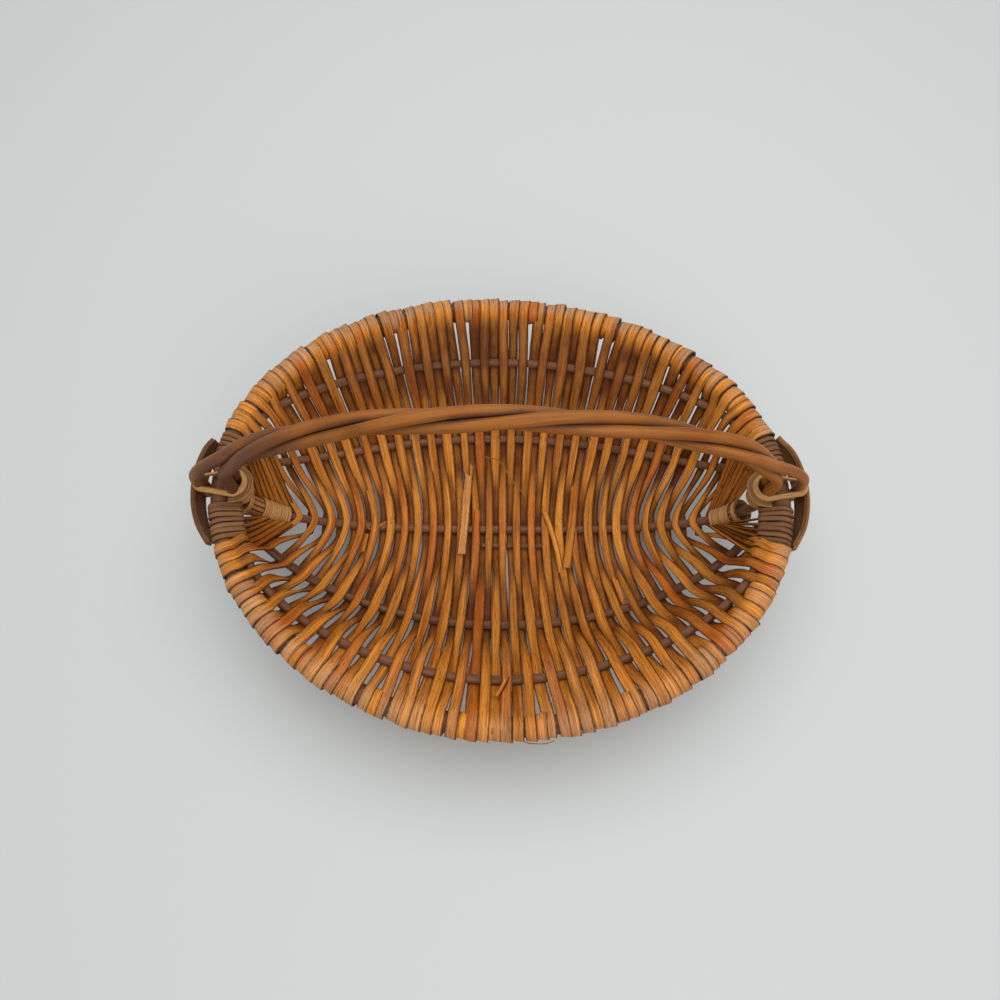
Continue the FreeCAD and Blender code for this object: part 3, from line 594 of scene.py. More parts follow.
def base_rib_half(side, end):
    middle = vec(0, side * BASE_RIB_SPREAD, KEEL_LEVEL + BASE_RIB_RISE)
    bend = middle + vec(end * 0.5 * RIM_HALF_LENGTH, 0, 0)
    last = beside_rim(side, end, BASE_END_RUN, lashing_reach + FIT, BASE_END_LEAN)
    pull = vec(last[0] - end * 13, last[1] * 0.64 + middle[1] * 0.36, last[2] * 0.2 + middle[2] * 0.8)
    return bezier(middle, bend, pull, last, half_steps)


def keel_rib_half(end):
    middle = vec(0, 0, KEEL_LEVEL)
    bend = vec(end * 0.57 * RIM_HALF_LENGTH, 0, KEEL_LEVEL)
    last = rim_point(end_angle if end > 0 else end_angle + math.pi) - vec(end * 1.2, 0, RIM_RADIUS + FIT)
    pull = last - vec(end * 10, 0, 0.85 * (last[2] - KEEL_LEVEL))
    return bezier(middle, bend, pull, last, half_steps)


print("the side ribs' tails lie", tail_offset, "mm from the rim's line")

# %% Rib lines


def whole_rib(half_maker, *side):
    return np.concatenate([half_maker(*side, -1)[::-1], half_maker(*side, 1)[1:]])


ribs = {
    "front_side_rib": whole_rib(side_rib_half, -1),
    "front_base_rib": whole_rib(base_rib_half, -1),
    "keel_rib": whole_rib(keel_rib_half),
    "back_base_rib": whole_rib(base_rib_half, 1),
    "back_side_rib": whole_rib(side_rib_half, 1),
}
print("ribs:", {label: round(run_of(points)[-1]) for label, points in ribs.items()})

# %% Ribs and splice
KNOT_SPACING = 47.0
SPLICE_RADIUS = 2.0
SPLICE_OFFSET = 12.5
SPLICE_ENDS = (-13, 33)
tilted_up = UP + vec(0, 0.01, 0)
for label, points in ribs.items():
    looks = {"tone": chance.uniform(0.1, 0.7), "stain": 0.1}
    rod = rod_form(points, RIB_RADIUS, tilted_up, knots=KNOT_SPACING, **looks)
    make_piece(label.replace("rib", "rib_shoot"), [rod], rod_wood, "dark_rods", label)
splice_line = np.linspace(*[vec(x, -SPLICE_OFFSET, KEEL_LEVEL) for x in SPLICE_ENDS], 24)
splice = rod_form(splice_line, SPLICE_RADIUS, UP, around=14, tone=0.3, stain=0.2)
make_piece("splice_shoot", [splice], rod_wood, "dark_rods", "keel_splice_rod")
print("rib pieces:", len(ribs) + 1)

# %% [markdown]
# ## Where a splint goes
# A weaver comes over the front rim, crosses the ribs over and under, and hooks over the back rim. Its line
# is found as on the real basket: a smooth path in plan from the rim to the keel, the rods that this path
# meets, and the side of each rod that the weave asks for. Between two rods the strip follows a cubic span.

# %% Rib crossings
CROSSINGS = 28
RIM_TURNS = 32
WOVEN_LENGTH = 149.0
LASHED_SPAN = 39.0
WEAVE_GAP = 0.2
SIDES = ((-1, "front"), (1, "back"))
wrap_radius = RIM_RADIUS + WEAVE_GAP + SPLINT / 2
rib_wrap = RIB_RADIUS + WEAVE_GAP + SPLINT / 2
half_run = half_rim / 2 - LASHED_SPAN
rim_pitch = half_run / RIM_TURNS
keel_pitch = WOVEN_LENGTH / CROSSINGS


def rib_at(points, x):
    place = np.searchsorted(points[:, 0], x)
    start, end = points[place - 1], points[place]
    return start + (end - start) * (x - start[0]) / (end[0] - start[0]), unit(end - start)


def rib_crossing(points, path, side):
    inside = (path[:, 0] >= points[0, 0]) & (path[:, 0] < points[-1, 0])
    beyond = side * (path[:, 1] - np.interp(path[:, 0], points[:, 0], points[:, 1]))
    for step in range(1, len(path)):
        if not inside[step]:
            return None
        if beyond[step] >= 0:
            share = beyond[step - 1] / (beyond[step - 1] - beyond[step])
            return rib_at(points, path[step - 1, 0] + (path[step, 0] - path[step - 1, 0]) * share)
    return None


print("weave:", 2 * CROSSINGS, "crossings,", round(keel_pitch, 2), "mm apart on the keel rib")

# %% Rods met


def plan_path(keel_x, angle, side):
    start = vec(keel_x, 0, 0)
    centre, along, out, lift = rim_frame(angle)
    last = level(centre)
    reach = np.linalg.norm(last - start)
    start_pull = vec(0, side * reach * (0.25 - 0.13 * ease(90, WOVEN_LENGTH, abs(keel_x))), 0)
    return bezier(start, start + start_pull, last - out * reach / 9, last, np.linspace(0, 1, 49))


def rods_met(keel_x, aims, hooks, over_keel):
    """Rods that one crossing meets, front to back: centre, run, side taken, and whether beside the rim."""
    keel_side = 1 if over_keel else -1
    rods = [(*rib_at(ribs["keel_rib"], keel_x), keel_side, False)]
    for (side, word), aim, hook in zip(SIDES, aims, hooks):
        path = plan_path(keel_x, aim, side)
        for order, kind in enumerate(("base", "side"), start=1):
            found = rib_crossing(ribs[f"{word}_{kind}_rib"], path, side)
            if found is None:
                continue
            room = np.linalg.norm(found[0] - rim_point(hook)) - wrap_radius - rib_wrap
            beside = room < 2 * SPLINT
            met = [(*found, 1 if beside else keel_side * (-1) ** order, beside)]
            rods = rods + met if side > 0 else met + rods
    return rods


print("a crossing can meet", len(ribs), "ribs")

# %% [markdown]
# ## The line of one splint
# At every rod the splint has a stop: a place, a width, a way and a side. Round the rim it follows the wrap
# to its tucked tip. A splint that met each rod squarely would wave too much, so it is squared only in part.
# Near the ends the splints lie aslant and closer together, and are slimmed to leave each other room.

# %% Stops and hooks
KEEL_WIDTH = 6.5
RIM_WIDTH = 8.2
SLIMMING = 0.6
SQUARING = 0.35
LOOSENESS = 0.8
SOLE = 8
HOOK_STEPS = 17
HOOK_END = math.radians(-150)


def rod_stops(keel_x, rods, centres):
    """Where a splint lies on each rod: place, half width, way along the splint and the side taken."""
    half_width = max(abs(centres[0][1]), abs(centres[-1][1]))
    slimmed = math.cos(math.atan2(abs(centres[-1][0] - keel_x), half_width)) ** SLIMMING
    stops = []
    for index, (centre, along, taken, beside) in enumerate(rods, start=1):
        way = unit(unit(centres[index + 1] - centres[index]) + unit(centres[index] - centres[index - 1]))
        square_way = unit(way - along * (way @ along))
        offset = np.cross(along, square_way) * (taken * (rib_wrap + FIT * beside))
        middle = centre + offset
        if not beside:
            level_along = unit(level(along))
            middle = middle - along * (offset @ level_along) / (along @ level_along)
            middle = middle + along * (LOOSENESS * slimmed * chance.uniform(-1, 1))
        share = abs(centre[1]) / half_width
        width = (KEEL_WIDTH * (1 - share) + RIM_WIDTH * share) * slimmed
        way = unit(way - along * (way @ along) * SQUARING - offset * (way @ offset) / (offset @ offset))
        steps = (-SOLE, SOLE) if taken < 0 and abs(centre[1]) < RIB_RADIUS else (0,)
        stops += [(middle + way * step, along * width / 2, way, taken) for step in steps]
    return stops


def hook_line(angle, inner, wrap, slant):
    """Places round the rim from where a splint meets it to its tucked tip."""
    centre, along, out, lift = rim_frame(angle)
    away = inner - centre
    reach = math.hypot(away @ out, away @ lift)
    first = math.atan2(-(away @ lift), -(away @ out)) + math.asin(wrap / reach) + math.pi / 2
    turns = np.linspace(first, HOOK_END, HOOK_STEPS)
    way = out * math.sin(first) - lift * math.cos(first)
    slid = along * (slant * ease(first, HOOK_END, turns))[:, None]
    return centre + swing(out, lift, turns) * wrap + slid, along * RIM_WIDTH / 2, way


print("a splint has", HOOK_STEPS, "places round each side of the rim")

# %% Splint lines
SPAN_STEPS = 14
RIM_LAP = math.radians(7.5)
SPAN_LAP = math.radians(26.0)
OPEN_SPAN = 22
TIP_SLANT = 1.6
LEAST_PULL = 0.35
PULL_POWER = 2.5


def rim_rows(places, half):
    count = len(places)
    return places, np.repeat(half[None], count, axis=0), np.full(count, RIM_LAP), np.ones(count)


def splint_line(keel_x, aims, hooks, over_keel, wraps):
    """Middle line of one crossing from front tip to back tip, its half widths, lap tilts and sides."""
    rods = rods_met(keel_x, aims, hooks, over_keel)
    centres = [rim_point(hooks[0])] + [rod[0] for rod in rods] + [rim_point(hooks[1])]
    stops = rod_stops(keel_x, rods, centres)
    slants = chance.uniform(-TIP_SLANT, TIP_SLANT, 2)
    front, front_half, front_way = hook_line(hooks[0], stops[0][0], wraps[0], slants[0])
    back, back_half, back_way = hook_line(hooks[1], stops[-1][0], wraps[1], slants[1])
    front_way = unit(SQUARING * -front_way + (1 - SQUARING) * unit(stops[0][0] - front[0]))
    back_way = unit(SQUARING * back_way + (1 - SQUARING) * unit(back[0] - stops[-1][0]))
    stops = [(front[0], front_half, front_way, 1)] + stops + [(back[0], back_half, back_way, 1)]
    rows = [rim_rows(front[::-1], front_half)]
    shares = np.linspace(0, 1, SPAN_STEPS + 1)[1:]
    eased = ease(0, 1, shares)
    for number, (first, second) in enumerate(zip(stops, stops[1:])):
        chord = second[0] - first[0]
        length = np.linalg.norm(chord)
        pulls = [
            length / 3 * max(stop[2] @ chord / length, LEAST_PULL) ** PULL_POWER * stop[2]
            for stop in (first, second)
        ]
        middles = bezier(first[0], first[0] + pulls[0], second[0] - pulls[1], second[0], shares)
        halves = first[1] + (second[1] - first[1]) * eased[:, None]
        open_span = length > OPEN_SPAN and 0 < number < len(stops) - 2
        tilts = np.sin(math.pi * shares) ** 2 * (SPAN_LAP if open_span else 0.0)
        if number == 0:
            tilts = tilts + RIM_LAP * ease(1, 0, shares)
        if number == len(stops) - 2:
            tilts = tilts + RIM_LAP * eased
        rows.append((middles, halves, tilts, first[3] + (second[3] - first[3]) * eased))
    rows.append(rim_rows(back[1:], back_half))
    return [np.concatenate(values) for values in zip(*rows)]


print("a span between two rods has", SPAN_STEPS, "steps")

# %% [markdown]
# ## One splint
# A splint is a thin strip rived from a log: flat, with soft edges and ridges along its face. Eighteen points
# make its section. Where neighbours pass each other between two rods they cannot lie flat side by side, so
# each one turns on edge a little, all the same way, and on the rim each one laps over the next like a
# shingle. One function sets the section along a line, and every kind of strip below uses it.

# %% Splint maker
FACE = np.array([-0.95, -0.74, -0.5, -0.22, 0.22, 0.5, 0.74, 0.95])
SECTION_ACROSS = np.concatenate([FACE, [1.0], FACE[::-1], [-1.0]])
SECTION_THROUGH = np.concatenate([np.full(8, 0.5), [0.0], np.full(8, -0.5), [0.0]])
WIDTHS = (0.88, 1.1)
RIDGE = 0.1
HOLLOWS = (-0.12, 0.3)
WANDER = 0.3
TURNED_SLIMMING = 0.25


def strip_skin(middles, side, square, across, through, runs, edge=1.0, **looks):
    """The strip's section along a line: side is the way across the strip, square the way through it."""
    through = through + 0 * across
    side = np.broadcast_to(side, middles.shape)
    rings = middles[:, None] + side[:, None] * across[..., None] + square[:, None] * through[..., None]
    grain = np.stack([runs[:, None] + 0 * across, across, through], axis=-1)
    return loft(rings, grain, edge=edge * np.abs(SECTION_ACROSS), **looks)


def crowned(thickness, crown):
    """Heights through a section whose outer face is domed."""
    dome = np.where(SECTION_THROUGH >= 0, crown * (1 - SECTION_ACROSS**2), 0)
    return thickness * SECTION_THROUGH + dome


def splint_form(middles, halves, tilts, thickness=SPLINT, **looks):
    """A splint whose width, turn, ridges and hollow differ a little from place to place."""
    runs = run_of(middles)
    ways = ways_along(middles)
    halves = halves - ways * np.sum(halves * ways, axis=1, keepdims=True)
    width = np.linalg.norm(halves, axis=1) * chance.uniform(*WIDTHS)
    width = width * (1 + 0.06 * drift(runs, 30.0) + 0.025 * drift(runs, 6.0))
    width = width * (1 - TURNED_SLIMMING * np.sin(tilts) ** 2)
    side = unit(halves)
    square = np.cross(side, ways)
    tilt = tilts * (1 + 0.3 * drift(runs, 40.0)) + math.radians(3) * drift(runs, 30.0)
    side, square = swing(side, square, tilt), swing(square, -side, tilt)
    loose = np.clip(tilts / SPAN_LAP, 0, 1) * WANDER
    middles = middles + side * (loose * drift(runs, 35.0))[:, None]
    middles = middles + square * (loose * drift(runs, 25.0))[:, None]
    ridges = chance.uniform(-RIDGE, RIDGE, len(SECTION_ACROSS)) * (np.abs(SECTION_THROUGH) > 0)
    hollow = chance.uniform(*HOLLOWS) * (SECTION_ACROSS**2 - 0.4)
    through = thickness * (SECTION_THROUGH + ridges) - hollow
    return strip_skin(middles, side, square, width[:, None] * SECTION_ACROSS, through, runs, **looks)


print("splint section:", len(SECTION_ACROSS), "points")

# %% [markdown]
# ## The weavers
# Fifty-six crossings fill the basket. Four slots on each quarter of the rim carry a short filler wrap
# instead of a crossing, because the rim is longer than the keel. Shade is painted on the splints where they
# pass under a rod; high on the back and end walls they are darker from real stain and painted shade; the
# front wall is painted lighter, as if lit; and on the rim they have faded. "stain" follows
# these places.

# %% Weave plan
AIM_SPREAD = 0.8
SLOT_CHANCE = 0.6
FILLER_PULL = 1.5
crossings = []
filler_slots = []
fillers = RIM_TURNS - CROSSINGS


def is_filler(slot):
    """The fillers are spread evenly over the slots."""
    before, after = [(2 * place * fillers + RIM_TURNS) // (2 * RIM_TURNS) for place in (slot, slot + 1)]
    return after > before


for end in (-1, 1):
    made = 0
    for slot in range(RIM_TURNS):
        run = half_rim / 2 - (slot + 0.5) * rim_pitch
        moved_run = run + chance.uniform(-SLOT_CHANCE, SLOT_CHANCE)
        if is_filler(slot):
            filler_slots.append((end, moved_run))
            continue
        even_run = half_rim / 2 - (made + 0.5) * half_run / CROSSINGS
        aim_run = run + (even_run - run) * AIM_SPREAD
        hook_run = moved_run + FILLER_PULL * (is_filler(slot - 1) - is_filler(slot + 1))
        aims, hooks = [[rim_angle(side, end, place) for side in (-1, 1)] for place in (aim_run, hook_run)]
        crossings.append((end * (made + 0.5) * keel_pitch, aims, hooks, (made % 2 == 0) == (end > 0)))
        made += 1
crossings.sort(key=lambda crossing: crossing[0])
print("weave:", len(crossings), "crossings, fillers:", 2 * len(filler_slots))

# %% Weave
BACK_WALL = (60, 112)
FRONT_WALL = (-70, -112)
END_WALLS = (100, 170)
OFF_FLOOR = (20, 50)
UNDER_ROD = (0.45, -0.75)
ONTO_RIM = (HOOK_STEPS + 5, HOOK_STEPS - 6)


def splint_stain(middles, sides):
    """Painted shade under rods; stain and painted shade up the back and end walls; front painted light; rim
    faded.
    """
    back = ease(*BACK_WALL, middles[:, 1])
    front = ease(*FRONT_WALL, middles[:, 1])
    ends = ease(*END_WALLS, np.abs(middles[:, 0])) * ease(*OFF_FLOOR, middles[:, 2])
    # painted shade where a splint passes under a rod, weaker on the front wall
    shaded = (1.15 - 0.95 * front) * ease(*UNDER_ROD, sides)
    # high on the back and end walls: real stain and painted shade; the front wall is painted lighter, as if
    # lit
    wall_stain_and_painted_light = np.maximum(np.clip(0.03 + 0.9 * back + 0.3 * ends, 0, 1), shaded) - 0.4 * front
    from_tip = np.minimum(np.arange(len(middles)), np.arange(len(middles))[::-1])
    on_rim = ease(*ONTO_RIM, from_tip)
    return wall_stain_and_painted_light * (1 - on_rim) - (0.8 + 0.4 * back) * on_rim


for number in range(0, len(crossings), 2):
    forms = []
    for crossing in crossings[number:number + 2]:
        wraps = wrap_radius + chance.uniform(0.1, 1.7, 2)
        middles, halves, tilts, sides = splint_line(*crossing, wraps)
        tone = chance.beta(0.9, 1.1)
        stain = splint_stain(middles, sides) + 0.45 * chance.random() ** 2
        forms.append(splint_form(middles, halves, tilts, tone=tone, stain=stain))
    label = f"{number // 2 + 1:02d}"
    make_piece("woven_splints_" + label, forms, splint_wood, "splints", "weaver_" + label)
print("weavers:", label, "pieces")

# %% [markdown]
# ## Turns round the rim
# Filler wraps and lashings go once round the rim, and near the ends also round the tail of the side rib. The
# outline of a tight turn round two rods is the hull of two circles: for each direction, the circle that
# reaches further gives the point.

# %% Turn maker
TURN_STEPS = 44
TURN_RIDGE = 0.05


def belt(side, end, run, extra):
    """Places of a tight turn round the rim, and round the rib's tail where that lies along it."""
    centre, along, out, lift = rim_frame(rim_angle(side, end, run))
    normals = swing(out, lift, np.linspace(0, 2 * math.pi, TURN_STEPS, endpoint=False))
    points = centre + normals * (RIM_RADIUS + extra)
    if run < SIDE_TAIL_RUN + RIB_RADIUS:
        tail = beside_rim(side, end, run, tail_offset, SIDE_TAIL_LEAN) - centre
        tail = tail - along * (tail @ along)
        further = normals @ tail + RIB_RADIUS > RIM_RADIUS
        points = np.where(further[:, None], centre + tail + normals * (RIB_RADIUS + extra), points)
    return points, along, normals


def turn_form(side, end, run, width, thickness, crown, slant, lap=0.0, **looks):
    points, along, normals = belt(side, end, run, FIT + math.sin(lap) * width / 2)
    count = len(points)
    length = np.linalg.norm(points - np.roll(points, 1, axis=0), axis=1).sum()
    runs = np.linspace(0, length, count, endpoint=False)
    phase = np.arange(count) / count * 2 * math.pi
    points = points + along * (slant * np.sin(phase + chance.uniform(0, 6)))[:, None]
    uneven = 1 + 0.04 * np.sin(2 * phase + chance.uniform(0, 6))
    across = uneven[:, None] * SECTION_ACROSS * width / 2
    ridges = chance.uniform(-TURN_RIDGE, TURN_RIDGE, len(SECTION_ACROSS)) * (SECTION_THROUGH > 0)
    through = crowned(thickness, crown) + thickness * (0.5 + ridges)
    leaned = along + normals * math.tan(lap)
    return strip_skin(points, leaned, normals, across, through, runs, closed=True, **looks)


print("a turn has", TURN_STEPS, "places")

# %% Filler wraps and lashings
LASHING_TURNS = 7
LASHING_PITCH = 3.6
LASHING_WIDTH = 3.1
LASHING = 0.75
ENDS = ((-1, "left"), (1, "right"))
for side, word in SIDES:
    forms = []
    for end, run in filler_slots:
        looks = {"tone": chance.beta(1.1, 1.1), "stain": chance.uniform(-0.9, 0.1)}
        forms.append(turn_form(side, end, run, RIM_WIDTH, SPLINT, 0.1, 0.3, RIM_LAP, **looks))
    make_piece(f"{word}_rim_wraps", forms, splint_wood, "splints", f"rim_fillers_{word}")
for end, word in ENDS:
    forms = []
    for side in (-1, 1):
        for number in range(LASHING_TURNS):
            run = foot_half_width + FIT + LASHING_WIDTH / 2 + number * LASHING_PITCH
            width = LASHING_PITCH * chance.uniform(0.9, 1.0)
            stain = chance.uniform(0, 0.35) + (0.25 if end > 0 else 0.0)
            looks = {"tone": chance.uniform(0, 1), "stain": stain}
            forms.append(turn_form(side, end, run, width, LASHING, 0.6, 0.4, **looks))
    make_piece(f"{word}_lashing_turns", forms, lashing_wood, "end_splints", f"{word}_end_lashing")
print("lashings:", 4 * LASHING_TURNS, "turns")

# %% [markdown]
# ## The handle
# Three rods twist round one another along an arch. A helix round the arch's line gives each rod its place.
# Near its ends the twist opens and the rods stand astride the rim, two inside it and one outside, so each
# rod's place is blended from the helix to a straight foot. The rods are thicker and greyer at the left.

# %% Arch line
HANDLE_RISE = 108.0
STRANDS = 3
THIRD_TURNS = 5
FOOT_DROP = 9.0
FOOT_STRAIGHT = 12.0
FOOT_SPREAD = 42.0
strand_offset = foot_reach / math.sqrt(3)
foot_offset = RIM_RADIUS + FIT + STRAND / 2
rim_end_x = rim_point(end_angle)[0]
inner_foot_x = rim_end_x - foot_offset
outer_foot_x = rim_end_x + foot_offset
foot_x = (2 * inner_foot_x + outer_foot_x) / 3
arch_turns = np.linspace(0, math.pi, 361)
arch_heights = RIM_LEVEL + HANDLE_RISE * np.sin(arch_turns)
arch = np.stack([-foot_x * np.cos(arch_turns), 0 * arch_turns, arch_heights], axis=-1)
arch = np.concatenate([arch[:1] - UP * FOOT_DROP, arch, arch[-1:] - UP * FOOT_DROP])
arch_runs = run_of(arch)
arch_length = arch_runs[-1]


def strand_twist(run, number):
    third_turns = THIRD_TURNS * (run - FOOT_SPREAD) / (arch_length - 2 * FOOT_SPREAD)
    return math.pi - 2 * math.pi * (third_turns + number) / STRANDS


def foot_place(end, number):
    """The outermost rod stands outside the rim, the other two inside."""
    twist = strand_twist(FOOT_SPREAD if end < 0 else arch_length - FOOT_SPREAD, number)
    if math.cos(twist) < -0.9:
        return vec(end * outer_foot_x, 0, 0)
    return vec(end * inner_foot_x, math.copysign(foot_reach / 2, math.sin(twist)), 0)


print("arch:", round(arch_length), "mm long")

# %% Handle rods
STOUTNESS = 1.04
LEFT_STOUTNESS = 0.2
runs = np.linspace(0, arch_length, 260)
points = at_runs(runs, arch, arch_runs)
inward = np.cross(BACK, ways_along(points))
thick = STOUTNESS + LEFT_STOUTNESS * ease(150, 10, runs)
grey = ease(170, 60, runs) - 0.4 * ease(150, 50, arch_length - runs)
from_foot = np.minimum(runs, arch_length - runs) - FOOT_DROP - FOOT_STRAIGHT
twist_share = ease(0, FOOT_SPREAD, from_foot)[:, None]
for number in range(STRANDS):
    twist = strand_twist(runs, number) + 0.1 * drift(runs, 70.0)
    offset = strand_offset * thick * (1 + 0.03 * drift(runs, 50.0))
    twisted = points + swing(inward, BACK, twist) * offset[:, None]
    feet = np.where(runs[:, None] < arch_length / 2, foot_place(-1, number), foot_place(1, number))
    standing = np.stack([feet[:, 0], feet[:, 1] * thick, points[:, 2]], axis=-1)
    beyond = np.sign(np.abs(feet[:, 0]) - rim_end_x) * np.sign(feet[:, 0])
    standing[:, 0] += beyond * STRAND / 2 * (thick - 1)
    line = standing * (1 - twist_share) + twisted * twist_share
    # the side of each rod that faces the others is painted darker, as shade in the grooves; grey is the real
    # greyer wood at the left
    looks = {"tone": 0.25 + 0.25 * number, "stain": grey, "groove": unit(points - line)}
    strand = rod_form(line, STRAND / 2 * thick, vec(0, 1, 0.001), around=24, **looks)
    label = str(number + 1)
    make_piece("handle_shoot_" + label, [strand], handle_wood, "handle_rods", "handle_strand_" + label)
print("handle:", STRANDS, "rods")

# %% [markdown]
# ## Ear bands
# A stout bent strip stands outside the lashings at each end. On the real basket it is laid up from thin
# strips, and their edges show as lines along its top, so three nested strips are made instead of one block.
# The inner face of the innermost strip is painted dark, as the shade in the narrow gap beside the lashings.

# %% Ear bands
EAR_THICKNESS = 3.6
EAR_HEIGHT = 15.0
EAR_LAYERS = 3
EAR_DROP = 1.6
EAR_FLARE = 0.22
EAR_TAPER = 0.55
EAR_STEPS = 56
LAYER_GAP = 0.05
INNER_FACE_SHADE = 1.2
EAR_TRIM = {-1: [1.0, 0.84], 1: [1.0, 1.0]}
EAR_STAIN = {-1: 0.75, 1: 0.1}


def ear_layer(end, layer):
    tips = []
    for side in (-1, 1):
        centre, along, out, lift = rim_frame(rim_angle(side, end, LASHED_SPAN - LASHING_WIDTH))
        tips.append(level(centre + out * (RIM_RADIUS + 2 * FIT + SPLINT)))
    chord = tips[1] - tips[0]
    outward = np.cross(unit(chord), UP)
    outward = outward if outward[0] * end > 0 else -outward
    half_chord = np.linalg.norm(chord) / 2
    strand_edge = vec(end * (outer_foot_x + STRAND / 2 + FIT), 0, 0)
    bulge = (strand_edge - (tips[0] + tips[1]) / 2) @ outward
    bend = (half_chord**2 + bulge**2) / (2 * bulge)
    centre = (tips[0] + tips[1]) / 2 + outward * (bulge - bend) + UP * RIM_LEVEL
    half_turn = math.asin(half_chord / bend)
    first, last = half_turn * chance.uniform(0.97, 1.02, 2) * EAR_TRIM[end]
    turns = np.linspace(-first, last, EAR_STEPS)
    normals = swing(outward, unit(chord), turns)
    runs = (turns - turns[0]) * bend
    layer_pitch = EAR_THICKNESS / EAR_LAYERS
    reach = bend + 0.2 + (layer + 0.5) * layer_pitch + 0.12 * drift(runs, 20.0)
    lift = chance.uniform(-0.9, 0.5) + 0.4 * drift(runs, 25.0) - EAR_DROP
    middles = centre + normals * reach[:, None] + UP * lift[:, None]
    taper = 1 - EAR_TAPER * ease(0.62, 1.0, np.abs(turns) / half_turn)
    half = EAR_HEIGHT / 2 * chance.uniform(0.98, 1.06) * taper
    across = half[:, None] * SECTION_ACROSS
    through = (layer_pitch - LAYER_GAP) * SECTION_THROUGH + EAR_FLARE * np.minimum(across, 2.0)
    # the inner face of the innermost strip is painted dark, as shade in the gap beside the lashings
    stain = EAR_STAIN[end] + INNER_FACE_SHADE * (SECTION_THROUGH < 0) * (layer == 0) + 0 * across
    looks = {"tone": chance.uniform(0.2, 0.8), "stain": stain}
    return strip_skin(middles, UP, normals, across, through, runs, edge=0.8, **looks)


for end, word in ENDS:
    forms = [ear_layer(end, layer) for layer in range(EAR_LAYERS)]
    make_piece(f"{word}_ear_strips", forms, ear_wood, "ear_wood", f"{word}_ear_band")
print("ear bands:", EAR_LAYERS, "strips each")

# %% [markdown]
# ## Foot bindings
# Each foot of the handle sits in a cup wound from narrow splints. They come from the rim, pass round the
# inner side of the foot and go back to the rim. Each turn is a U-shaped strip, the turns are stacked like
# the coils of a pot, and the cup opens a little towards its top. One more splint ties all three feet
# together over the rim.

# %% Cup turns
CUP_TURNS = 8
CUP_HEIGHT = 16.0
CUP_SPLINT = 1.3
CUP_ROOM = 0.75
CUP_OPENING = 1.8
CUP_LIP = 2.2
CUP_LAYER = 1.7
CUP_BELOW = 0.62
LEG_STEPS = 4
BEND_STEPS = 29


def upright_strip(middles, outside, half, thickness, crown, tone, lean=0.0, closed=False):
    """A strip on edge along a level line, its outer face a little domed and leaned to the sky."""
    face = outside * math.cos(lean) + UP * math.sin(lean)
    rise = UP * math.cos(lean) - outside * math.sin(lean)
    across = np.tile(SECTION_ACROSS * half, (len(middles), 1))
    through = crowned(thickness, crown)
    return strip_skin(middles, rise, face, across, through, run_of(middles), tone=tone, closed=closed)


def cup_turn(end, number, layer):
    share = (number + 0.5) / CUP_TURNS
    reach = foot_reach + FIT + CUP_ROOM + CUP_OPENING * share + CUP_LIP * share**3 - CUP_LAYER * layer
    bend = np.linspace(-math.pi / 2, math.pi / 2, BEND_STEPS)
    leg = np.linspace(STRAND / 2 + FIT - 1.2, 0.4, LEG_STEPS)
    inward = np.concatenate([leg, -reach * np.cos(bend), leg[::-1]])
    sides = np.full(LEG_STEPS, reach)
    sideways = np.concatenate([-sides, reach * np.sin(bend), sides])
    lift = RIM_LEVEL + CUP_HEIGHT * (share - CUP_BELOW)
    middles = np.stack([end * (inner_foot_x + inward), sideways, np.full(len(inward), lift)], axis=-1)
    middles[:, 2] += 0.25 * drift(run_of(middles), 9.0) + 1.2 * share * ease(4, -8, inward)
    outside = unit(level(np.cross(ways_along(middles), UP)))
    half_way = len(middles) // 2
    from_foot = middles[half_way] - vec(end * inner_foot_x, 0, lift)
    outside = outside * np.sign(outside[half_way] @ from_foot)
    half = CUP_HEIGHT / CUP_TURNS / 2 * 1.1
    return upright_strip(middles, outside, half, CUP_SPLINT, 0.45, chance.uniform(0, 0.6))


print("a cup is", CUP_HEIGHT, "mm high")

# %% Foot tie
TIE_LIFT = 9.0
TIE_HALF = 2.3
TIE_SPLINT = 1.2
TIE_LEAN = 0.7


def foot_tie(end):
    """A tight turn round the two inner feet and the outer foot, just over the rim."""
    turns = np.linspace(0, 2 * math.pi, 64, endpoint=False)
    outside = swing(vec(1, 0, 0), BACK, turns)
    near = vec(end * inner_foot_x, 0, 0) + outside * (foot_reach + 0.7)
    far = vec(end * outer_foot_x, 0, 0) + outside * (STRAND / 2 + 0.8)
    further = np.sum((far - near) * outside, axis=1) > 0
    middles = np.where(further[:, None], far, near)
    middles = middles + UP * (RIM_LEVEL + TIE_LIFT + 0.6 * np.sin(turns + 1.0))[:, None]
    return upright_strip(middles, outside, TIE_HALF, TIE_SPLINT, 0.4, 0.0, lean=TIE_LEAN, closed=True)


print("the tie lies", TIE_LIFT, "mm above the rim's line")

# %% Foot cups
for end, word in ENDS:
    forms = [cup_turn(end, number, 0) for number in range(CUP_TURNS)]
    forms += [cup_turn(end, number, 1) for number in range(CUP_TURNS // 2, CUP_TURNS)]
    forms.append(foot_tie(end))
    make_piece(f"{word}_foot_cup", forms, cup_wood, "end_splints", f"{word}_foot_binding")
print("foot cups:", CUP_TURNS, "turns each")

# %% [markdown]
# ## End rolls
# Inside each end a bundle of splint ends lies round the keel rib and is bound into a tapered roll.
# Lengthwise strips show through a window near the foot, and tight rings close the rest. The roll bends with
# the rib, so its places are measured along the rib's own line.

# %% Roll line
ROLL_LENGTH = {-1: 42.0, 1: 24.0}
ROLL_BUTT = 9.0
ROLL_TIP = 7.0
ROLL_ROOM = 6.0


